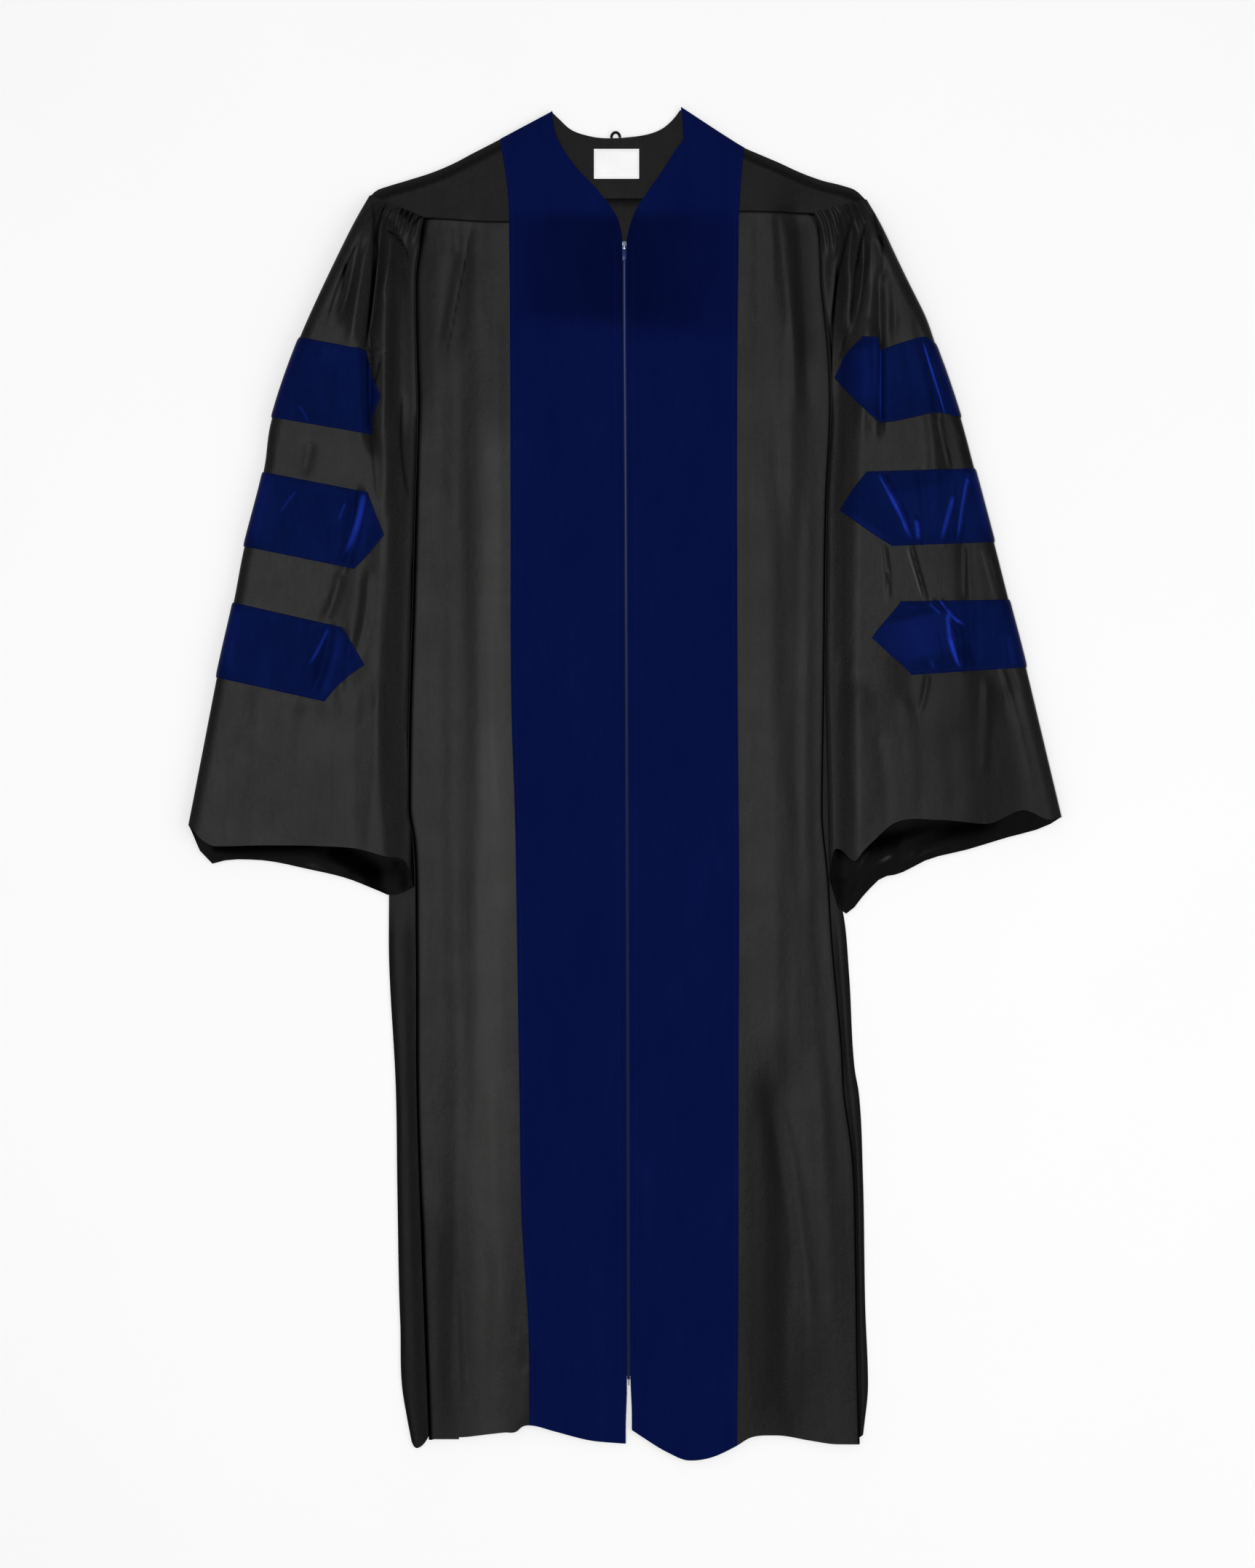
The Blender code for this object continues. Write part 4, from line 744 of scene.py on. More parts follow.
def front(side):
    """Makes a front half: its yoke, its panel with a turned-under side fold, and its velvet band."""
    yoke, panel = yoke_rows(side), panel_rows(side)
    shoulder, seam = curve(side.shoulder), curve(side.seam)
    plan = np.array(yoke + panel)
    x, drop = plan[..., 0], plan[..., 1]
    away = np.where(np.abs(x) >= side.shoulder[0][0], drop - shoulder(np.abs(x)), SHOULDER_EASE)
    body = np.dstack([x, drop, front_middle(side, x, drop, away)])
    out = normals(body) * side.sign
    split, name = len(yoke), side.name
    # Painted light along the shoulder line, and painted shade beside the yoke seam.
    glow = SHOULDER_LIGHT * ease(1 - away[:split] / SHOULDER_LIGHT_WIDTH)
    yoke_piece = shell(
        f"yoke_cloth_{name}", f"front_yoke_{name}", body[:split], out[:split], YOKE_CLOTH_SHADED,
        shine=glow + seam_shade((seam(np.abs(x)) - drop)[:split]),
    )
    band = slice(0, VELVET_COLUMNS + 1)
    rim = velvet_rim(body.shape[0], VELVET_COLUMNS + 1, RIM_POINTS)[..., None]
    velvet_piece = shell(
        f"velvet_band_{name}", f"velvet_front_{name}", body[:, band], out[:, band], BAND_VELVET, "blue_velvet",
        VELVET_LOW, VELVET_HIGH - VELVET_ROUNDING * rim,
        shine=crease_height(BAND_SHADE, x[:, band], drop[:, band]),
    )

    body_panel = body[split:]
    x, drop, top = body_panel[:, -1].T
    middle, radius = (top + UNDER_MIDDLE) / 2, (top - UNDER_MIDDLE) / 2
    rolled = [body_panel]
    for turn in np.radians(ROLL_ANGLES):
        reach = side.sign * ROLL_RADIUS * math.cos(turn)
        rolled.append(np.stack([x + reach, drop, middle + radius * math.sin(turn)], axis=-1)[:, None])
    for k in range(1, TURN_COLUMNS + 1):
        reach = side.sign * TURN_UNDER * k / TURN_COLUMNS
        rolled.append(np.stack([x - reach, drop, np.full_like(x, UNDER_MIDDLE)], axis=-1)[:, None])
    rolled = np.concatenate(rolled, axis=1)
    rolled_out = normals(rolled) * side.sign
    kept = body.shape[1] - 1
    rolled_out[:, :kept] = out[split:, :kept]
    x, drop = rolled[..., 0], rolled[..., 1]
    from_fold = curve(side.fold)(drop) - np.abs(x)
    # Painted shade along the fold beside the sleeve, on top of the front cloth's broad painted light and shade.
    depth = FOLD_SHADE + FOLD_SHADE_LOWER * ease((drop - FOLD_SHADE_START) / FOLD_SHADE_RUN)
    shade = crease_height(FRONT_SHADE, x, drop) - depth * ease(1 - from_fold / FOLD_SHADE_WIDTHS[side is LEFT])
    panel_piece = shell(
        f"front_cloth_{name}", f"front_panel_{name}", rolled, rolled_out, GOWN_CLOTH,
        shine=shade + seam_shade(drop - seam(np.abs(x))),
    )
    return yoke_piece, panel_piece, velvet_piece, body, out, split


def velvet_rim(rows, columns, width):
    """Falls from 1 at a velvet piece's edge to 0 a few points in, where its pile stands full."""
    across = np.minimum(np.arange(columns), np.arange(columns)[::-1])
    along = np.minimum(np.arange(rows), np.arange(rows)[::-1])
    inward = np.minimum(along[:, None], across[None, :])
    return np.clip(1 - inward / width, 0, 1) ** 2


def back():
    """Makes the back yoke and the back panel, which lie on the floor."""
    neck, seam, hem = curve(BACK_NECK), curve(BACK_SEAM), curve(BACK_HEM)
    left_end, right_end = -LEFT.shoulder[-1][0], RIGHT.shoulder[-1][0]
    x = np.linspace(left_end, right_end, BACK_COLUMN_COUNT * 2 + 1)
    seam_left, seam_right = BACK_SEAM[0][0], BACK_SEAM[-1][0]
    tops = np.where(x < 0, curve(LEFT.shoulder)(np.abs(x)), curve(RIGHT.shoulder)(np.abs(x)))
    tops = np.where((x > BACK_NECK[0][0]) & (x < BACK_NECK[-1][0]), neck(x), tops)
    foot_x = seam_left + (seam_right - seam_left) * (x - left_end) / (right_end - left_end)
    rows = []
    for t in np.linspace(0, 1, BACK_YOKE_ROWS):
        drop = tops + (seam(foot_x) - SEAM_SLIT - tops) * t
        rows.append(np.stack([x + (foot_x - x) * t, drop, np.full_like(x, BACK_MIDDLE)], axis=-1))
    points = np.array(rows)
    out = normals(points)
    yoke_piece = shell("back_yoke_cloth", "back_yoke", points, out, YOKE_CLOTH_SHADED, inside=YOKE_CLOTH_SHADED)

    strip = curve(STRIP_FOLD)
    shares = np.linspace(0, 1, STRIP_COLUMNS)
    first, last = BACK_ROWS
    rows = []
    for i, drop in enumerate(np.linspace(first, last, round((last - first) / BACK_ROW_STEP) + 1)):
        sides = []
        for side in (LEFT, RIGHT):
            level = max(drop, side.side[0][0])
            edge, fold = curve(side.side)(level), curve(side.fold)(level)
            sides.append((side.sign * (edge + (fold - edge) * shares), strip(shares)))
        middle = np.linspace(sides[0][0][-1], sides[1][0][-1], BACK_COLUMN_COUNT + 1)[1:-1]
        xs = np.concatenate([sides[0][0], middle, sides[1][0][::-1]])
        rise = np.concatenate([sides[0][1], np.zeros_like(middle), sides[1][1][::-1]])
        sink = ease((drop - HEM_SWAY_TOP) / (HEM_MEAN - HEM_SWAY_TOP))
        here = drop + sink * (hem(xs) - HEM_MEAN)
        here = np.maximum(here, seam(xs) + SEAM_SLIT)
        if i == 0:
            here = seam(xs) + SEAM_SLIT
        height = BACK_MIDDLE + rise * ease((drop - STRIP_START) / STRIP_EASE)
        rows.append(np.stack([xs, here + i * ROW_NUDGE, height], axis=-1))
    points = np.array(rows)
    out = normals(points)
    underside = points - out * HALF
    underside[..., 2] += np.clip(crease_height(BACK_CREASES, points[..., 0], points[..., 1]), 0, DENT_MOST)
    # The upper face takes the darker yoke copy, painted shade, with painted shade beside the yoke seam.
    panel_piece = cloth(
        "back_cloth", points + out * HALF, underside, GOWN_CLOTH, "gown_cloth", inside=YOKE_CLOTH_SHADED,
        inner_shine=seam_shade(points[..., 1] - seam(points[..., 0])),
    )
    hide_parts("back_panel")
    return yoke_piece, panel_piece


def sleeve_line(side, v):
    """The outer and inner plan points, the height and the bars' end at a place along a sleeve."""
    columns = [curve(tuple(enumerate(column)))(v) for column in zip(*side.stations)]
    outer_x, outer_drop, inner_drop, top, bar = [float(c) for c in columns]
    inner_x = float(curve(side.fold)(inner_drop)) + CLOTH + SEAM_GAP
    outer = outer_x - SLEEVE_INSET
    if v >= 2:
        lines = [2 * n + 2 + t for n in range(3) for t in (LOW_TIP if n == 2 and side is RIGHT else MIDDLE_TIP)]
        end_x = np.interp(v, lines, [x for ends in side.ends for x in ends])
        bar = 1 - (end_x - inner_x) / (outer - inner_x)
    return outer, outer_drop, inner_x, inner_drop, top, bar


def sleeve_plan(side, v, share, hem_table):
    """Plan points of a sleeve row, share running from 0 at the outer fold to 1 at the inner edge."""
    outer_x, outer_drop, inner_x, inner_drop = sleeve_line(side, min(v, 7))[:4]
    x = outer_x + (inner_x - outer_x) * share
    drop = outer_drop + (inner_drop - outer_drop) * share
    if v < 1:
        end, corner = side.shoulder[-1], side.seam[-1]
        head = sleeve_line(side, 0)
        head_x, head_drop = head[0] + (head[2] - head[0]) * share, head[1] + (head[3] - head[1]) * share
        seam_drop = end[1] + (corner[1] - end[1]) * (head_x - end[0]) / (corner[0] - end[0])
        drop = drop + (seam_drop - GAP + HEAD_SLIT - head_drop) * ease(1 - v)
    if side is RIGHT:
        shown = 1.0 if hem_table is side.front_hem else ease(1 - share / HIDDEN_WAVE_END)
        reach = ease((v - 1.2) / 0.8) * ease((3 - v) / 0.8) * shown
        drop = drop + BAR_STEP_DROP * reach * ease((BAR_STEP_X - x) / BAR_STEP_WIDTH)
        for row, wave in ((2, BAR_TOP_WAVE), (3, BAR_FOOT_WAVE)):
            drop = drop + curve(wave)(x) * max(0.0, 1 - abs(v - row)) * shown
    if v > 7:
        outer_x, outer_drop, inner_x, inner_drop = sleeve_line(side, 8)[:4]
        hem_x = outer_x + (inner_x - outer_x) * share
        x = x + (hem_x - x) * (v - 7)
        drop = drop + (curve(hem_table)(hem_x) - drop) * (v - 7)
    return np.maximum(x, curve(side.fold)(drop) + CLOTH + SEAM_GAP), drop


def sleeve_shares(side, v):
    """Where the columns of a sleeve row stand, from the inner edge over the top and back underneath."""
    outer_x, outer_drop, inner_x, inner_drop, top, bar = sleeve_line(side, v)
    width = math.hypot(outer_x - inner_x, outer_drop - inner_drop)
    rounding = FOLD_ROUND / width
    quarter = math.pi / 2
    inner = 1 + (bar - 1) * np.arange(INNER_COLUMNS) / INNER_COLUMNS
    middle = bar + (rounding - bar) * np.arange(BAR_COLUMNS) / BAR_COLUMNS
    bend = rounding * (1 - np.sin(quarter * np.arange(ROUND_COLUMNS) / ROUND_COLUMNS))
    under = rounding * (1 - np.cos(quarter * np.arange(LOWER_ROUND_COLUMNS) / LOWER_ROUND_COLUMNS))
    lower = rounding + (bar - rounding) * np.arange(LOWER_COLUMNS) / LOWER_COLUMNS
    inside = bar + (1 - bar) * np.arange(LOWER_COLUMNS + 1) / LOWER_COLUMNS
    return np.concatenate([inner, middle, bend]), np.concatenate([under, lower, inside]), width


def sleeve(side):
    """Makes a bell sleeve with a gathered head, an open armhole and an open mouth, and its three bars."""
    places = np.concatenate([
        np.arange(n) / n + i for i, n in enumerate(SLEEVE_STEPS)
    ] + [[len(SLEEVE_STEPS)]])
    grid, sleeve_painted_light, mouth_painted_light_and_shade, pile_grain_and_painted_light = [], [], [], []
    inner_low = (INNER_EDGE_TOP - HALF + SLEEVE_LOW) / 2
    for v in places:
        upper, lower, width = sleeve_shares(side, v)
        top, bar = sleeve_line(side, v)[4:]
        closed = ease((v - UNDERARM_ROW + CLOSING) / CLOSING)
        middle = (top - HALF + SLEEVE_LOW) / 2

        x, drop = sleeve_plan(side, v, upper, side.front_hem)
        off_outer, off_inner = upper * width, (1 - upper) * width
        rise = np.sqrt(1 - (1 - np.minimum(off_outer / FOLD_ROUND, 1)) ** 2)
        folds = crease_height(SLEEVE_CREASES, side.sign * x, drop)
        folds += crease_height(SMALL_SLEEVE_CREASES, side.sign * x, drop) * SLEEVE_GAIN
        folds *= 1 - LOWER_CALM * ease((drop - CALM_START) / CALM_EASE)
        # Painted shade along the inner edge, painted glints and shade along the folds, and painted highlights
        # and shade on the bars.
        edge = FOLD_SHADE * ease((EDGE_SHADE_WIDTH - off_inner) / EDGE_SHADE_WIDTH)
        sleeve_painted_light.append(crease_height(SLEEVE_PAINTED_GLINTS_AND_SHADE, side.sign * x, drop) - edge)
        pile_grain_and_painted_light.append(crease_height(BAR_PAINTED_HIGHLIGHTS_AND_SHADE, side.sign * x, drop))
        level = top - HALF + folds * ease(off_outer / FOLDS_START - FOLDS_CLEAR)
        level = INNER_EDGE_TOP - HALF + (level - INNER_EDGE_TOP + HALF) * ease(off_inner / INNER_FALL)
        if v < 1:
            count = HEAD_PLEATS * (1 - upper) / (1 - bar)
            pleat = (1 - np.cos(2 * math.pi * count)) / 2
            fade = ease((HEAD_PLEAT_END - v) / HEAD_PLEAT_EASE) * ease((1 - upper) / HEAD_PLEAT_EDGE)
            level = level + HEAD_PLEAT_HEIGHT * pleat * fade
        height = middle + (level - middle) * rise
        meet = np.sqrt(1 - (1 - np.minimum(off_inner / INNER_ROUND, 1)) ** 2)
        rounded = inner_low + (height - inner_low) * meet
        height = np.where(off_inner < INNER_ROUND, height + (rounded - height) * closed, height)
        line = [np.stack([side.sign * x, drop, height], axis=-1)]

        x, drop = sleeve_plan(side, v, lower, side.back_hem)
        off_outer, off_inner = lower * width, (1 - lower) * width
        rise = np.sqrt(1 - (1 - np.minimum(off_outer / FOLD_ROUND, 1)) ** 2)
        folds = crease_height(UNDER_CREASES, side.sign * x, drop) * ease(off_outer / FOLDS_START - FOLDS_CLEAR)
        folds *= ease(off_inner / FOLDS_START - FOLDS_CLEAR) * ease(v - 0.5)
        height = middle + (SLEEVE_LOW - middle) * rise + folds
        height = np.where(off_inner < 0.01, height + (inner_low - height) * closed, height)
        line.append(np.stack([side.sign * x, drop, height], axis=-1))
        # Painted shade in the hollow of the mouth, and painted light on its folds, on the lower layer's inner
        # face.
        mouth_painted_light_and_shade.append(np.concatenate([np.zeros(len(upper)), crease_height(MOUTH_SHADE, side.sign * x, drop)]))
        sleeve_painted_light[-1], pile_grain_and_painted_light[-1] = (np.concatenate([row[-1], np.zeros(len(x))]) for row in (sleeve_painted_light, pile_grain_and_painted_light))
        grid.append(np.concatenate(line))
    points = np.array(grid)
    out = normals(points) * side.sign
    closed_from = int(sum(SLEEVE_STEPS[:int(UNDERARM_ROW)]))
    points[closed_from:, -1] = points[closed_from:, 0]
    out[closed_from:, 0] = out[closed_from:, -1] = (-side.sign, 0, 0)
    piece = shell(
        f"sleeve_cloth_{side.name}", f"sleeve_{side.name}", points, out, GOWN_CLOTH,
        closed_from=closed_from, inside=INSIDE_CLOTH_SHADED, shine=np.array(sleeve_painted_light), inner_shine=np.array(mouth_painted_light_and_shade),
    )

    last = INNER_COLUMNS + BAR_COLUMNS + ROUND_COLUMNS + LOWER_ROUND_COLUMNS + LOWER_COLUMNS
    bars = []
    for number in (1, 2, 3):
        start, end = bar_rows(number)
        part = (slice(start, end + 1), slice(INNER_COLUMNS, last + 1))
        rim = velvet_rim(end + 1 - start, last + 1 - INNER_COLUMNS, RIM_POINTS)[..., None]
        name = f"{side.name}_{number}"
        bars.append(shell(
            f"velvet_bar_cloth_{name}", f"velvet_bar_{name}", points[part], out[part], BAR_VELVET,
            "blue_velvet", VELVET_LOW, VELVET_HIGH - VELVET_ROUNDING * rim, shine=np.array(pile_grain_and_painted_light)[part],
        ))
    return piece, bars, points, out


class Strand:
    """A number or colour in a material, on which the usual operators add Math nodes."""

    def __init__(self, dye, socket):
        self.dye, self.socket = dye, socket

    def __add__(self, other):
        return self.dye.math("ADD", self, other)

    def __sub__(self, other):
        return self.dye.math("SUBTRACT", self, other)

    def __rsub__(self, other):
        return self.dye.math("SUBTRACT", other, self)

    def __mul__(self, other):
        return self.dye.math("MULTIPLY", self, other)

    def __truediv__(self, other):
        return self.dye.math("DIVIDE", self, other)

    def __pow__(self, other):
        return self.dye.math("POWER", self, other)

    __radd__, __rmul__ = __add__, __mul__


class Dye:
    """One material, built up node by node from its plain values."""

    def __init__(self, name, **plain):
        self.material = bpy.data.materials.new(name)
        self.material.use_nodes = True
        self.tree = self.material.node_tree
        self.shader = self.tree.nodes["Principled BSDF"]
        for key, value in plain.items():
            self.shader.inputs[key.replace("_", " ").title().replace("Ior", "IOR")].default_value = value
        self.place = self.node("ShaderNodeTexCoord", out="Object")

    def node(self, kind, settings=None, out=0, **inputs):
        made = self.tree.nodes.new(kind)
        for key, value in (settings or {}).items():
            setattr(made, key, value)
        for key, value in inputs.items():
            socket = made.inputs[int(key[1:])] if key[0] == "_" else made.inputs[key]
            if isinstance(value, Strand):
                self.tree.links.new(value.socket, socket)
            else:
                socket.default_value = value
        return Strand(self, made.outputs[out])

    def math(self, operation, a, b):
        return self.node("ShaderNodeMath", {"operation": operation}, _0=a, _1=b)

    def stretched(self, scale, turn=0.0):
        return self.node("ShaderNodeMapping", Vector=self.place, Scale=scale, Rotation=(0, 0, turn))

    def noise(self, scale, detail=3.0, roughness=0.55, at=None):
        return self.node(
            "ShaderNodeTexNoise", Vector=at or self.place, Scale=scale, Detail=detail, Roughness=roughness,
        )

    def band(self, value, low, high):
        """Spreads the part of a value from low to high over 0 to 1."""
        soft = {"interpolation_type": "SMOOTHSTEP"}
        return self.node("ShaderNodeMapRange", soft, Value=value, _1=low, _2=high)

    def mix(self, share, first, second):
        return self.node("ShaderNodeMix", {"data_type": "RGBA"}, out=2, _0=share, _6=first, _7=second)

    def colour(self, value, pale=None, dark=None):
        """Sets the colour, with painted light (a mix towards the pale colour) and painted shade (a mix towards
        a near-black second shader) where the piece's own attribute says so.
        """
        if pale:
            shine = self.node("ShaderNodeAttribute", {"attribute_name": "shine"}, out=2)
            value = self.mix(self.band(shine, 0.0, 1.0), value, pale)
            painted_shade_shader = self.node("ShaderNodeBsdfPrincipled")
            for key, plain in (("Base Color", dark), ("Roughness", 0.9), ("Specular IOR Level", 0.0)):
                painted_shade_shader.socket.node.inputs[key].default_value = plain
            shaded = self.node("ShaderNodeMixShader", _0=self.band(0 - shine, 0.0, 1.0), _2=painted_shade_shader)
            self.tree.links.new(self.shader.outputs[0], shaded.socket.node.inputs[1])
            self.tree.links.new(shaded.socket, self.tree.nodes["Material Output"].inputs["Surface"])
        self.tree.links.new(value.socket, self.shader.inputs["Base Color"])

    def roughness(self, value):
        self.tree.links.new(value.socket, self.shader.inputs["Roughness"])

    def bump(self, height, distance, strength=1.0):
        raised = self.node("ShaderNodeBump", Height=height, Distance=distance, Strength=strength)
        self.tree.links.new(raised.socket, self.shader.inputs["Normal"])


def tone(red, green, blue):
    return (red, green, blue, 1.0)


def gown_cloth(name, light=1.0):
    """Black gown cloth: a fine twill with a faint lengthwise shimmer and shallow crumpling."""
    # A light below 1 makes a darker copy of the cloth, colours, sheen and gloss, used as painted shade.
    dye = Dye(name, sheen_weight=SHEEN_CLOTH * light, sheen_roughness=0.45, sheen_tint=tone(1.0, 0.99, 0.97),
              specular_ior_level=GLOSS_CLOTH * light)
    slub = dye.noise(1.0, 4.0, 0.6, at=dye.stretched((260.0, 14.0, 60.0)))
    broad = dye.noise(1.0, 2.0, 0.5, at=dye.stretched((17.0, 2.2, 6.0)))
    speck = dye.noise(620.0, 3.0, 0.8)
    shade = dye.band(slub * 0.17 + broad * 0.13 + speck * 0.7, 0.36, 0.66)
    dark = tone(0.0042 * light, 0.0041 * light, 0.0040 * light)
    pale = tone(0.0108 * light, 0.0106 * light, 0.0104 * light)
    # The pale grey and the near black passed on are the painted light and the painted shade.
    dye.colour(dye.mix(shade, dark, pale), tone(0.050, 0.050, 0.049), tone(0.0004, 0.0004, 0.0004))
    dye.roughness(dye.noise(30.0, 3.0) * 0.10 + 0.38)
    twill = dye.node("ShaderNodeTexWave", {"wave_type": "BANDS", "bands_direction": "DIAGONAL"},
                     Vector=dye.place, Scale=TWILL_SCALE, Distortion=0.6, Detail=1.0)
    crumple = dye.noise(1.0, 4.0, 0.55, at=dye.stretched((40.0, 26.0, 40.0)))
    fine = dye.noise(1.0, 3.0, 0.6, at=dye.stretched((190.0, 80.0, 150.0)))
    dye.bump(twill * 0.05 + crumple * 0.7 + fine * 0.2, CRUMPLE_HEIGHT)
    return dye.material


def velvet(name, deep, bright, sheen, gloss, rough):
    """Blue velvet: a deep pile, brighter where it is brushed the other way."""
    dye = Dye(name, sheen_weight=sheen, sheen_roughness=0.32, sheen_tint=tone(0.03, 0.10, 1.0),
              specular_ior_level=gloss, specular_tint=tone(0.06, 0.16, 1.0))
    brushed = dye.noise(1.0, 4.0, 0.6, at=dye.stretched((16.0, 7.0, 10.0), 0.25))
    strokes = dye.noise(1.0, 3.0, 0.6, at=dye.stretched((90.0, 26.0, 60.0), -0.2))
    pile_grain_and_painted_light = dye.noise(2100.0, 2.0, 0.7)
    shade = dye.band(brushed * 0.5 + strokes * 0.28 + pile_grain_and_painted_light * 0.22, 0.38, 0.72)
    # The pale blue and the near black passed on are the painted highlights and the painted shade.
    dye.colour(dye.mix(shade, deep, bright), tone(0.011, 0.030, 0.33), tone(0.0003, 0.0008, 0.006))
    dye.roughness(dye.noise(40.0, 2.0) * 0.1 + rough)
    dye.bump(pile_grain_and_painted_light * 0.5 + strokes * 0.9, 0.00035)
    return dye.material


def thread_look(name, colour):
    dye = Dye(name, sheen_weight=0.04, sheen_roughness=0.4, specular_ior_level=0.08)
    twist = dye.node("ShaderNodeTexWave", {"bands_direction": "DIAGONAL"}, Vector=dye.place, Scale=900.0)
    lit = tuple(c * 1.7 for c in colour[:3])
    dye.colour(dye.mix(twist, colour, tone(*lit)))
    dye.roughness(dye.noise(400.0) * 0.2 + 0.5)
    return dye.material


def coil_look():
    dye = Dye("zip_coil_blue", specular_ior_level=0.25)
    height = dye.node("ShaderNodeSeparateXYZ", out=1, Vector=dye.place)
    # The teeth are paler towards the top of the zip, rising from a little below its middle up to the slider.
    pale_share = dye.band(height, -0.15, 0.55) * (dye.noise(240.0) * 0.5 + 0.6)
    dye.colour(dye.mix(pale_share, tone(0.006, 0.014, 0.085), tone(0.11, 0.15, 0.40)))
    dye.roughness(dye.noise(500.0) * 0.25 + 0.25)
    return dye.material


def enamel_look(name, wear, coat):
    """Blue enamel, worn to bright metal in patches."""
    dye = Dye(name, coat_weight=coat, specular_ior_level=coat * 2)
    pale_share = dye.band(dye.noise(620.0, 4.0, 0.65), 0.74 - wear, 0.9 - wear)
    dye.colour(dye.mix(pale_share, tone(0.008, 0.016, 0.075), tone(0.22, 0.25, 0.32)))
    dye.roughness(dye.noise(900.0) * 0.2 + 0.3)
    dye.tree.links.new((pale_share * 0.8 + 0.1).socket, dye.shader.inputs["Metallic"])
    return dye.material


def satin_look():
    """White satin ribbon with its floats running across."""
    dye = Dye("label_satin_white", sheen_weight=0.2, specular_ior_level=0.5)
    floats = dye.noise(1.0, 2.0, 0.5, at=dye.stretched((120.0, 2600.0, 100.0)))
    dye.colour(dye.mix(dye.noise(60.0), tone(0.74, 0.74, 0.745), tone(0.86, 0.86, 0.865)))
    dye.roughness(floats * 0.25 + 0.4)
    dye.bump(floats, 0.0001)
    return dye.material


def floor_look():
    dye = Dye("pale_paper", specular_ior_level=0.1)
    dye.colour(dye.mix(dye.noise(3.0), tone(0.86, 0.86, 0.86), tone(0.88, 0.88, 0.88)))
    dye.roughness(dye.noise(40.0) * 0.05 + 0.9)
    return dye.material


def stitches(name, line, look, slot, pitch=3.6, length=2.5, radius=0.28, sunk=0.1):
    """Lays a row of stitches along a line of points."""
    line = np.asarray(line, float)
    steps = np.linalg.norm(np.diff(line, axis=0), axis=1)
    along = np.concatenate([[0], np.cumsum(steps)])
    count = int(along[-1] / pitch)
    bm = bmesh.new()
    for k in range(count):
        ends = [(k + 0.5) * pitch - length / 2, (k + 0.5) * pitch + length / 2]
        start, stop = [np.array([np.interp(e, along, line[:, axis]) for axis in range(3)]) for e in ends]
        a, b = Vector(to_metres(start)), Vector(to_metres(stop))
        way = (b - a).normalized()
        lie = way.to_track_quat("Z", "Y").to_matrix().to_4x4()
        middle = (a + b) / 2 - Vector((0, 0, sunk * MM))
        bmesh.ops.create_icosphere(
            bm, subdivisions=1, radius=radius * MM,
            matrix=Matrix.Translation(middle) @ lie @ Matrix.Diagonal((1, 1, length / 2 / radius, 1)),
        )
    return shown(name, bm, look, slot=slot, smooth=180)


def grid_line(points, out, row, column, lift):
    """Points along one row or one column of a cloth grid, raised off its middle."""
    return points[row, column] + out[row, column] * lift


def sewing(side, body, out, split, sleeve_points, sleeve_out):
    """Adds the stitches of one half of the gown, and returns them."""
    name, edge = side.name, VELVET_COLUMNS
    on_cloth, on_velvet = HALF + 0.1, VELVET_HIGH + 0.02

    def blue(kind, line, end=""):
        return stitches(f"{kind}_stitches_{name}{end}", line, BLUE_THREAD, "blue_velvet")

    def black(kind, line, **spacing):
        return stitches(f"{kind}_stitches_{name}", line, BLACK_THREAD, "gown_cloth", **spacing)

    made = [
        blue("band", grid_line(body, out, slice(None), edge - 1, on_velvet)),
        blue("zip", grid_line(body, out, slice(split + 6, -16), 2, on_velvet)),
        black("yoke", grid_line(body, out, split - 2, slice(edge + 2, None), on_cloth)),
        black("hem", grid_line(body, out, -6, slice(edge + 1, -4), on_cloth), **HEM_STITCH),
    ]
    for number in (1, 2, 3):
        start, end = bar_rows(number)
        across, tip = slice(INNER_COLUMNS + 1, INNER_COLUMNS + BAR_COLUMNS), slice(start + 1, end)
        places = ((start + 1, across), (tip, INNER_COLUMNS + 1), (end - 1, across))
        top, point, foot = (grid_line(sleeve_points, sleeve_out, *place, on_velvet) for place in places)
        made.append(blue("bar", np.concatenate([top[::-1], point, foot]), f"_{number}"))
    mouth = grid_line(sleeve_points, sleeve_out, -5, slice(4, INNER_COLUMNS + BAR_COLUMNS - 2), on_cloth)
    made.append(black("cuff", mouth, **HEM_STITCH))
    return made


def tooth_row(side):
    """Makes one side of the zip: its tape's edge and its row of coil teeth."""
    drops = np.arange(SLIDER_DROP + 1.0, SLIT_TOP - TEETH_FOOT, TOOTH_PITCH)
    offset = 0 if side is LEFT else TOOTH_PITCH / 2
    bm = bmesh.new()
    for drop in drops:
        x = zip_x(drop) + side.sign * TOOTH_REACH * TOOTH_PLACE
        centre = Vector(to_metres((x, drop + offset, TEETH_MIDDLE + TEETH_HEIGHT / 2 - TOOTH_SIZE)))
        bmesh.ops.create_cube(bm, size=1, matrix=Matrix.Translation(centre) @ Matrix.Diagonal(
            (TOOTH_REACH * MM, TOOTH_SIZE * MM, TOOTH_SIZE * 2 * MM, 1)
        ))
    teeth = shown(f"zip_coil_{side.name}", bm, COIL, slot="zip_coil", smooth=180)
    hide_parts(f"zip_teeth_{side.name}")
    rows = []
    for drop in np.arange(SLIDER_DROP - 1, SLIT_TOP - TEETH_FOOT, TAPE_STEP):
        near = zip_x(drop) + side.sign * GAP / 2
        far = near + side.sign * ZIP_HALF_WIDTH
        rows.append([(near, drop, TAPE_HEIGHT), (far, drop, TAPE_HEIGHT)])
    points = np.array(rows)
    up = np.zeros_like(points)
    up[..., 2] = TAPE_HALF
    tape = cloth(f"zip_tape_{side.name}", points - up, points + up, TAPE, "zip_coil")
    return teeth, tape


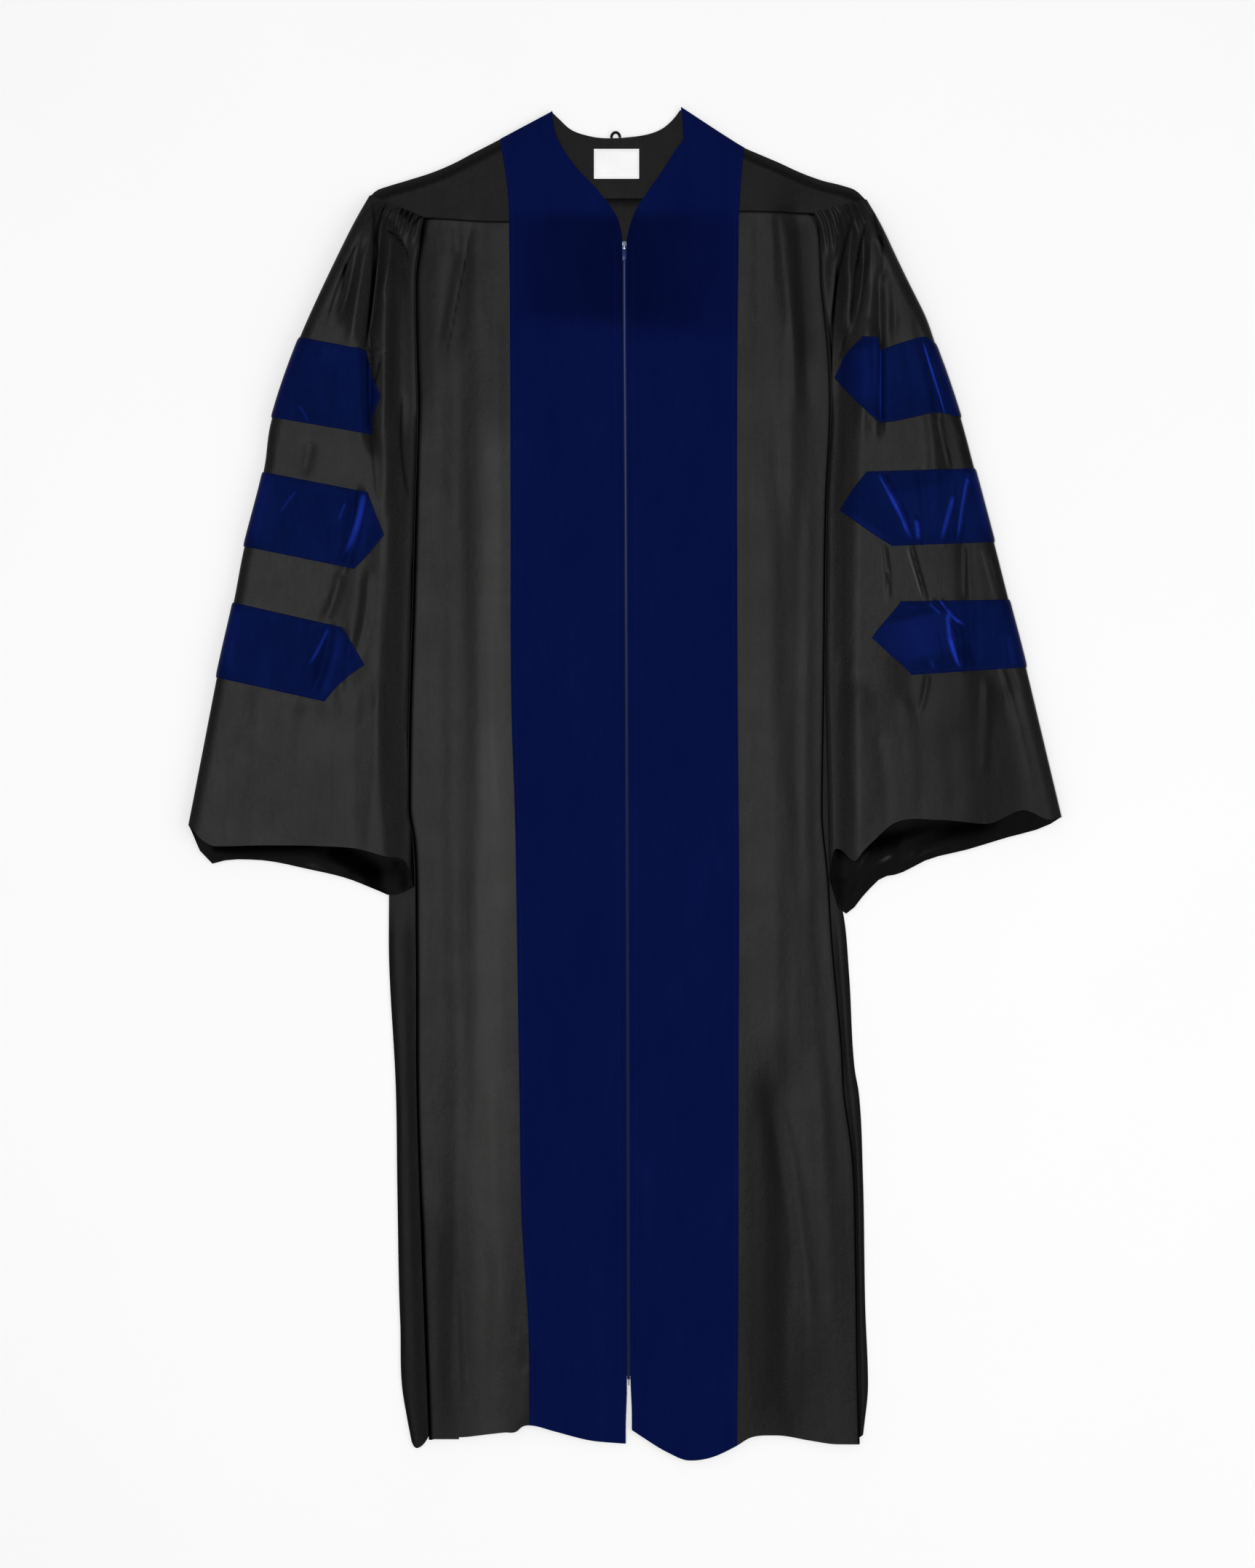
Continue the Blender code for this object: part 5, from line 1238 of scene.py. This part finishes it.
def block(bm, x, half, top, foot, low, high, rounding):
    """Adds a block with rounded edges, half as wide to each side of x."""
    made = bmesh.ops.create_cube(bm, size=1)["verts"]
    bmesh.ops.scale(bm, verts=made, vec=(half * 2 * MM, (foot - top) * MM, (high - low) * MM))
    bmesh.ops.translate(bm, verts=made, vec=Vector(to_metres((x, (top + foot) / 2, (low + high) / 2))))
    edges = list({e for v in made for e in v.link_edges})
    bmesh.ops.bevel(
        bm, geom=edges, offset=rounding * MM, offset_type="OFFSET", segments=3, profile=0.5,
        affect="EDGES", material=-1,
    )


def zip_fastener():
    """Makes the slider and its hinged pull."""
    middle, at = float(zip_x(SLIDER_DROP)), SLIDER_DROP
    half, top, foot = SLIDER_WIDTH / 2, at - SLIDER_LENGTH / 2, at + SLIDER_LENGTH / 2
    base, plate, arch = CLOTH + GAP, SLIDER_TOP - SLIDER_PLATE, SLIDER_TOP + BRIDGE_ROOM
    reach, width = BRIDGE_LENGTH / 2, BRIDGE_WIDTH / 2
    bm = bmesh.new()
    block(bm, middle, half, top, foot, plate, SLIDER_TOP, 0.35)
    block(bm, middle, half, top, foot, base, base + SLIDER_BASE, 0.25)
    block(bm, middle, POST_WIDTH / 2, top + POST_TOP, top + POST_FOOT, base, plate + LAP, 0.1)
    for start in (at - reach, at + reach - BRIDGE_FOOT):
        block(bm, middle, width, start, start + BRIDGE_FOOT, SLIDER_TOP - LAP, arch + LAP, 0.1)
    block(bm, middle, width, at - reach, at + reach, arch, arch + BRIDGE_FOOT, 0.25)
    slider = shown("slider_enamel", bm, SLIDER_ENAMEL, slot="zip_metal", smooth=50)
    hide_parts("zip_slider")

    inner, arm_top, tab_top = width + GAP, at - PIN_RADIUS, at + PULL_EYE
    low, high = PIVOT_HEIGHT - PULL_THICKNESS / 2, PIVOT_HEIGHT + PULL_THICKNESS / 2
    bm = bmesh.new()
    for sign in (-1, 1):
        arm = middle + sign * (inner + PULL_ARM / 2)
        block(bm, arm, PULL_ARM / 2, arm_top, tab_top + 2 * LAP, low, high, LAP)
    block(bm, middle, inner + LAP, arm_top + 0.05, at + PIN_RADIUS - 0.05, low + 0.05, high - 0.05, LAP)
    block(bm, middle, PULL_WIDTH / 2, tab_top, at + PULL_LENGTH, low, high, 0.3)
    pull = shown("pull_enamel", bm, PULL_ENAMEL, body="zip_pull", slot="zip_metal", smooth=50)
    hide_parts("zip_pull")


def neck_label():
    """Makes the bare satin label, turned under at its ends and stitched down all round."""
    low = CLOTH + GAP
    x0, x1 = LABEL_X - LABEL_WIDTH / 2, LABEL_X + LABEL_WIDTH / 2
    xs, drops = np.meshgrid(np.linspace(x0, x1, 60), np.linspace(LABEL_DROP, LABEL_DROP + LABEL_DEPTH, 40))
    inward = np.minimum.reduce([xs - x0, x1 - xs, drops - LABEL_DROP, LABEL_DROP + LABEL_DEPTH - drops])
    swell = 0.35 * ease(inward / 4.0) + 0.12 * np.sin(xs / 5.5) * np.sin(drops / 7.0 + 1.0) * ease(inward / 6.0)
    ends = np.minimum(xs - x0, x1 - xs)
    turned = 0.25 * (1 - ease((ends - 4.2) / 0.8))
    lower = np.dstack([xs, drops, np.full_like(xs, low)])
    upper = np.dstack([xs, drops, low + 0.65 + swell + turned])
    label = cloth("neck_label_satin", lower[::-1], upper[::-1], SATIN, "label_satin")
    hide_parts("neck_label")
    left, right = x0 + LABEL_INSET, x1 - LABEL_INSET
    top, foot = LABEL_DROP + LABEL_INSET, LABEL_DROP + LABEL_DEPTH - LABEL_INSET
    corners = ((left, top), (right, top), (right, foot), (left, foot), (left, top))
    line = [(x, drop, low + 1.05) for x, drop in corners]
    sewn = stitches("label_stitches", line, WHITE_THREAD, "label_satin", 2.4, 1.9, 0.2, 0.0)


def hanger_loop():
    """Makes the hanger loop from two cords twisted together."""
    neck = curve(BACK_NECK)
    count = 40
    line = bpy.data.curves.new("loop_line", "CURVE")
    line.dimensions = "3D"
    line.bevel_depth = LOOP_RADIUS * 0.95 * MM
    line.bevel_resolution = 3
    line.use_fill_caps = True
    for strand in (0, math.pi):
        spline = line.splines.new("POLY")
        spline.points.add(count)
        for i in range(count + 1):
            angle = math.pi * i / count
            twist = strand + 9.0 * angle
            radius = LOOP_RADIUS * 0.42
            side = math.cos(angle), math.sin(angle)
            across = LOOP_X - LOOP_WIDTH / 2 * side[0]
            edge = min(neck(across - LOOP_RADIUS), neck(across + LOOP_RADIUS))
            x = LOOP_X - (LOOP_WIDTH / 2 + radius * math.cos(twist)) * side[0]
            drop = float(edge) - LOOP_GAP - (LOOP_RISE + radius * math.cos(twist)) * side[1]
            height = LOOP_RADIUS * 1.45 + radius * math.sin(twist)
            spline.points[i].co = (*to_metres((x, drop, height)), 1)
    guide = bpy.data.objects.new("loop_guide", line)
    bpy.context.collection.objects.link(guide)
    bpy.context.view_layer.update()
    made = bpy.data.meshes.new_from_object(guide.evaluated_get(bpy.context.evaluated_depsgraph_get()))
    bpy.data.objects.remove(guide)
    bm = bmesh.new()
    bm.from_mesh(made)
    bpy.data.meshes.remove(made)
    piece = shown("hanger_loop_cord", bm, THREAD_CORD, slot="gown_cloth", smooth=60)
    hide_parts("hanger_loop")


def area_light(name, place, aim, size, watts, colour=(1, 1, 1)):
    lamp = bpy.data.lights.new(name, "AREA")
    lamp.shape = "SQUARE"
    lamp.size = size
    lamp.energy = watts
    lamp.color = colour
    item = bpy.data.objects.new(name, lamp)
    item.location = place
    item.rotation_euler = (Vector(aim) - Vector(place)).to_track_quat("-Z", "Y").to_euler()
    bpy.context.collection.objects.link(item)


def studio():
    """Adds the floor, the lights and the camera straight above."""
    bm = bmesh.new()
    bmesh.ops.create_grid(bm, x_segments=1, y_segments=1, size=6.0)
    bmesh.ops.translate(bm, verts=bm.verts, vec=(0, 0, FLOOR_HEIGHT))
    mesh = bpy.data.meshes.new("floor")
    bm.to_mesh(mesh)
    bm.free()
    mesh.materials.append(floor_look())
    floor = bpy.data.objects.new("floor", mesh)
    bpy.context.collection.objects.link(floor)

    world = bpy.data.worlds.new("studio")
    world.use_nodes = True
    world.node_tree.nodes["Background"].inputs["Color"].default_value = (1, 1, 1, 1)
    world.node_tree.nodes["Background"].inputs["Strength"].default_value = WORLD_LIGHT
    bpy.context.scene.world = world
    area_light("key", (-0.55, 0.1, 6.5), (0, 0, 0), 1.2, KEY_WATTS)
    area_light("fill", (2.4, -0.8, 2.2), (0, 0, 0), 2.0, FILL_WATTS)

    lens = bpy.data.cameras.new("camera")
    lens.sensor_width = SENSOR
    lens.lens = SENSOR * CAMERA_HEIGHT / VIEW_LENGTH
    lens.clip_end = 100
    camera = bpy.data.objects.new("camera", lens)
    camera.location = (*CAMERA_CENTRE, CAMERA_HEIGHT + AIM_HEIGHT)
    bpy.context.collection.objects.link(camera)
    bpy.context.scene.camera = camera
    bpy.context.scene.view_settings.view_transform = "Standard"


for item in [o for o in bpy.data.objects if o.type in ("LIGHT", "CAMERA")]:
    bpy.data.objects.remove(item)

GOWN_CLOTH = gown_cloth("gown_cloth_black")
# Darker copies of the gown cloth, painted shade: one on the yokes and the back's upper face, one on the
# sleeves' inner faces.
YOKE_CLOTH_SHADED = gown_cloth("yoke_cloth_black", 0.62)
INSIDE_CLOTH_SHADED = gown_cloth("inside_cloth_black", 0.24)
BAND_VELVET = velvet(
    "velvet_band_blue", tone(0.0017, 0.0045, 0.041), tone(0.0025, 0.0062, 0.053), 0.03, 0.04, 0.75,
)
BAR_VELVET = velvet(
    "velvet_bar_blue", tone(0.0009, 0.0028, 0.023), tone(0.0018, 0.0055, 0.044), 0.06, 0.09, 0.36,
)
BLUE_THREAD = thread_look("blue_thread", tone(0.0022, 0.006, 0.048))
BLACK_THREAD = thread_look("black_thread", tone(0.012, 0.012, 0.013))
WHITE_THREAD = thread_look("white_thread", tone(0.45, 0.45, 0.45))
THREAD_CORD = thread_look("black_cord", tone(0.003, 0.003, 0.003))
TAPE = thread_look("zip_tape_blue", tone(0.002, 0.005, 0.040))
COIL = coil_look()
SLIDER_ENAMEL = enamel_look("slider_enamel_worn", 0.34, 0.15)
PULL_ENAMEL = enamel_look("pull_enamel_blue", -0.2, 0.03)
SATIN = satin_look()

back_yoke_piece, back_piece = back()
for side in (LEFT, RIGHT):
    yoke_piece, panel_piece, velvet_piece, body, body_out, split = front(side)
    sleeve_piece, bars, sleeve_points, sleeve_out = sleeve(side)
    sewn = sewing(side, body, body_out, split, sleeve_points, sleeve_out)
    for bar, row, width in zip(bars, sewn[4:7], BAR_CUTS):
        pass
    tooth_row(side)
zip_fastener()
neck_label()
hanger_loop()
studio()
